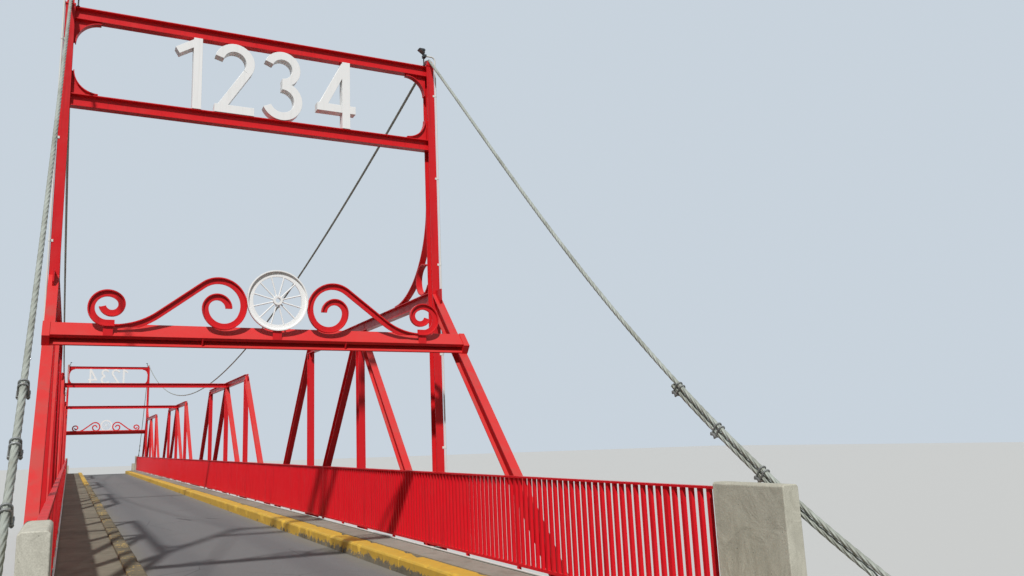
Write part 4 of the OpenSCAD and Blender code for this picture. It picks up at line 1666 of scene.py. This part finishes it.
@dataclass
class FloodLamps:
    """A small flood lamp on a rod over each tower, aimed down and inwards."""

    casting: Material
    glass: Material
    rod_x: float = 1.249
    rod_y: float = -12.713
    foot_z: float = 5.621
    head_z: float = 5.751
    half: float = 0.021
    housing: tuple[Point, ...] = (
        (-0.003, -0.026), (0.000, -0.030), (0.004, -0.030), (0.005, 0.006),
        (0.002, 0.0095), (-0.040, 0.0095), (-0.0445, 0.006), (-0.043, 0.002),
    )
    fins: int = 7
    fin_pitch: float = 0.0052
    # Radius, foot, top and sides of the rod, its foot plate and its nut
    turned: tuple[tuple[float, float, float, int], ...] = (
        (0.005, 0.0, 0.143, 16), (0.011, 0.0, 0.004, 24), (0.008, 0.1395, 0.1436, 6),
    )
    box_y: Point = (-12.7453, -12.7055)
    box_z: float = 5.695
    box_half: Point = (0.012, 0.010)

    def head(self, bm: Mesh) -> None:
        """Adds the wedge-shaped housing, with its glass set into the sloping face and fins on top.

        Args:
            bm: The mesh that gets it.
        """
        x, y, z = self.rod_x, self.rod_y, self.head_z
        corners = [(x + dx, y - self.half, z + dz) for dx, dz in self.housing]
        faces = plate(bm, corners, (0.0, 2 * self.half, 0.0))
        sides = [f for f in faces if abs(f.normal.y) < 0.5 and f.calc_area() > 0.001]
        slope = min(sides, key=lambda f: f.normal.z)
        bmesh.ops.inset_individual(bm, faces=[slope], thickness=0.005, depth=0.0)
        bmesh.ops.inset_individual(bm, faces=[slope], thickness=0.0008, depth=-0.0025)
        slope.material_index = 1
        for k in range(self.fins):
            left = x - 0.037 + k * self.fin_pitch
            wide = self.half * 0.86
            block(bm, (left, y - wide, z + 0.009), (left + 0.0016, y + wide, z + 0.012))

    def stand(self, bm: Mesh) -> None:
        """Adds the rod, its foot plate and nut, the yoke and the joint box.

        Args:
            bm: The mesh that gets them.
        """
        x, y, low, high = self.rod_x, self.rod_y, self.head_z - 0.008, self.head_z + 0.002
        for radius, foot, top, sides in self.turned:
            middle = (x, y, self.foot_z + EPS + (foot + top) / 2)
            rod(bm, radius, top - foot, sides, Matrix.Translation(middle))
        for side in (-1, 1):
            arm = y + side * (self.half + 0.0015)
            block(bm, (x - 0.022, arm - 0.0012, low), (x + 0.006, arm + 0.0012, high))
        reach = self.half + 0.0027
        block(bm, (x + 0.0052, y - reach, low), (x + 0.0076, y + reach, high))
        wide, tall = self.box_half
        near, far = self.box_y
        lid = self.box_z + tall
        block(bm, (x - wide, near, self.box_z - tall), (x + wide, far, lid))
        wide += 0.001
        block(bm, (x - wide, near - 0.001, lid - 0.004), (x + wide, far + 0.001, lid + 0.001))

    def build(self) -> None:
        """Builds the near right lamp and mirrors it to the other three towers."""
        bm = bmesh.new()
        self.head(bm)
        self.stand(bm)
        round_edges(bm, 0.0006, 1, 50.0)
        to_corners(bm)
        lamps = add_piece("flood_lamps", bm, [self.casting, self.glass])
        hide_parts("tower_lamps")


# Finishes of the frame's own pieces


@dataclass
class FramePieces:
    """The frame's nodes that keep their shape and get a finish."""

    nodes: dict[str, Object]
    finishes: dict[str, Material]
    # Name beginnings and the finish that they take, the first match counting
    rules: tuple[tuple[str, str], ...] = (
        ("truss_", "truss"), ("tower_lamps", "casting"), ("tower_", "portal"), ("sign_frame", "portal"),
        ("portal_wheel", "white"), ("portal_", "portal"), ("top_struts", "truss"), ("railing", "railing"),
        ("cable_saddles", "portal"), ("cable_clamps", "zinc"), ("cable_anchors", "zinc"),
        ("cable_", "strand"), ("bearings", "zinc"), ("cross_girders", "girders"), ("stringers", "girders"),
        ("conduits", "pipe"), ("road_surface", "asphalt"), ("sidewalk", "walk"), ("ledge", "ledge"),
        ("deck_slab", "boarded"), ("kerb", "ledge"), ("", "boarded"),
    )

    def dress(self) -> None:
        """Assigns a finish to every node."""
        for name, node in sorted(self.nodes.items()):
            key = next(finish for start, finish in self.rules if name.startswith(start))
            if not node.material_slots:
                node.data.materials.append(None)
            for slot in node.material_slots:
                slot.material = self.finishes[key]
            log.info("%s: %s", name, key)


# Stage


@dataclass
class Studio:
    """A plain pale floor, one sun from behind the camera's left, sky light, and the photograph's camera."""

    eye: Triple = (-1.154, -18.259, 2.702)
    right: Triple = (0.9141, -0.4046, -0.0275)
    up: Triple = (-0.0515, -0.1828, 0.9819)
    focal_px: float = 822.13
    centre_px: Point = (440.0, 285.2)
    image: tuple[int, int] = (1024, 576)
    sensor_mm: float = 36.0
    clip_end: float = 500.0
    backdrop: Colour = (0.58, 0.65, 0.72)
    floor_half: float = 150.0
    floor_pale: Colour = (0.62, 0.63, 0.62)
    floor_dark: Colour = (0.10, 0.10, 0.095)
    sky: float = 0.24
    sun: float = 3.25
    sun_degrees: float = 2.2
    sun_way: Triple = (0.34, 0.66, -0.72)

    def camera(self) -> None:
        """Sets the camera that was calibrated on the photograph."""
        data = bpy.data.cameras.new("photo_camera")
        wide, tall = self.image
        data.sensor_width = self.sensor_mm
        data.lens = self.focal_px * self.sensor_mm / wide
        data.shift_x = (wide / 2 - self.centre_px[0]) / wide
        data.shift_y = -(tall / 2 - self.centre_px[1]) / wide
        data.clip_end = self.clip_end
        right = Vector(self.right).normalized()
        back = right.cross(Vector(self.up)).normalized()
        turn = Matrix((right, back.cross(right), back)).transposed()
        camera = link("photo_camera", data)
        camera.matrix_world = Matrix.Translation(self.eye) @ turn.to_4x4()
        bpy.context.scene.camera = camera

    def floor(self) -> None:
        """Lays the floor, which is dark for the rays that light."""
        bm = bmesh.new()
        bmesh.ops.create_grid(bm, x_segments=1, y_segments=1, size=self.floor_half)
        floor = link("floor", to_mesh("floor", bm))
        g = Graph("floor")
        colour = g.layers(self.floor_dark, (g.viewed(), self.floor_pale))
        floor.data.materials.append(g.finish(colour, 0.9, gloss=0.2))

    def lights(self) -> None:
        """Adds the sun."""
        data = bpy.data.lights.new("sun", "SUN")
        data.energy = self.sun
        data.angle = math.radians(self.sun_degrees)
        lamp = link("sun", data)
        lamp.rotation_euler = Vector(self.sun_way).to_track_quat("-Z", "Y").to_euler()

    def world(self) -> None:
        """Lights the scene from all sides, and shows a plain backdrop to the camera and to reflections."""
        world = bpy.data.worlds.new("studio")
        world.use_nodes = True
        tree = Tree(world.node_tree)
        out = next(n for n in tree.nodes if n.type == "OUTPUT_WORLD")
        light = next(n for n in tree.nodes if n.type == "BACKGROUND")
        tree.feed(light.inputs["Color"], (1.0, 1.0, 1.0, 1.0))
        tree.feed(light.inputs["Strength"], self.sky)
        seen = tree.value("ShaderNodeBackground", 0, {"Color": (*self.backdrop, 1.0), "Strength": 1.0})
        shaders = {0: tree.viewed(), 1: light.outputs[0], 2: seen}
        tree.feed(out.inputs["Surface"], tree.value("ShaderNodeMixShader", 0, shaders))
        bpy.context.scene.world = world

    def build(self) -> None:
        """Builds the stage."""
        for step in (self.camera, self.floor, self.lights, self.world):
            step()
        bpy.context.scene.view_settings.view_transform = "Standard"


RED: Colour = (0.672, 0.016, 0.021)
# Pale red of upward faces: sun-faded paint together with painted top light
SALMON: Colour = (0.665, 0.060, 0.053)


def make_finishes() -> dict[str, Material]:
    """Makes every material of the bridge.

    Returns:
        The materials, by the name that the pieces use.
    """
    boarded, screeded, trowelled = ConcreteFace.BOARDED, ConcreteFace.SCREEDED, ConcreteFace.TROWELLED
    finishes: dict[str, Finish] = {
        "truss": PaintedSteel("red_truss", (0.66, 0.015, 0.022), SALMON, dirt=0.45),
        "portal": PaintedSteel("red_portal", RED, SALMON, dirt=0.12, rust=0.35),
        # The railing's red is brighter than the other reds: painted light standing in for sun on its
        # road-side faces
        "railing": PaintedSteel("red_railing", (0.76, 0.012, 0.022), SALMON, 0.35, 0.2, gloss=0.08),
        "girders": PaintedSteel("red_girders", (0.42, 0.018, 0.020), SALMON, dirt=0.6, rust=0.9),
        "white": WhitePaint("white_plate"),
        "pipe": WhitePaint("white_pipe", (0.74, 0.74, 0.70), amount=0.5),
        "strand": BareMetal("wire_strand", (0.46, 0.49, 0.44), (0.31, 0.32, 0.27),
                            metallic=0.3, grain=160.0, rust=0.2),
        "zinc": BareMetal("zinc", (0.34, 0.35, 0.34), (0.20, 0.20, 0.19), rust=0.6),
        "asphalt": Asphalt("asphalt"),
        "walk": Concrete("walk", screeded, (0.20, 0.175, 0.13), (0.30, 0.27, 0.20), stained=0.8),
        "ledge": Concrete("ledge", screeded, (0.30, 0.285, 0.235), (0.42, 0.40, 0.34)),
        "trowelled": Concrete("trowelled", trowelled, (0.60, 0.585, 0.480), (0.72, 0.70, 0.60),
                              stained=0.14),
        "boarded": Concrete("boarded", boarded),
        "kerb_left": KerbPaint("kerb_left", -1, 0.585, 0.92, (1.0, 7.0), body=(0.235, 0.195, 0.115)),
        "kerb_right": KerbPaint("kerb_right", 1, 0.86, 1.06, (-12.5, -7.0)),
        "casting": DarkCasting("lamp_casting"),
        "glass": LampGlass("lamp_glass"),
    }
    return {name: finish.make() for name, finish in finishes.items()}


def main() -> None:
    """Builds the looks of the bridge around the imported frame."""
    logging.basicConfig(level=logging.INFO, format="%(name)s: %(message)s")
    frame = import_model()
    Studio().build()
    finishes = make_finishes()
    nodes = frame["nodes"]
    FramePieces(nodes, finishes).dress()
    route = CableRoute()
    Ropes(route, finishes["strand"]).build()
    Figures(finishes["white"]).build()
    PortalFront(finishes["portal"], finishes["white"]).build()
    Kerb("kerb_left", -1, finishes["kerb_left"]).build()
    Kerb("kerb_right", 1, finishes["kerb_right"]).build()
    Castings(nodes, finishes["trowelled"], finishes["boarded"]).build()
    clips = RopeClips(route, finishes["zinc"])
    clips.build()
    Fasteners(route, clips, finishes["zinc"]).build()
    FloodLamps(finishes["casting"], finishes["glass"]).build()


if __name__ == "__main__":
    main()
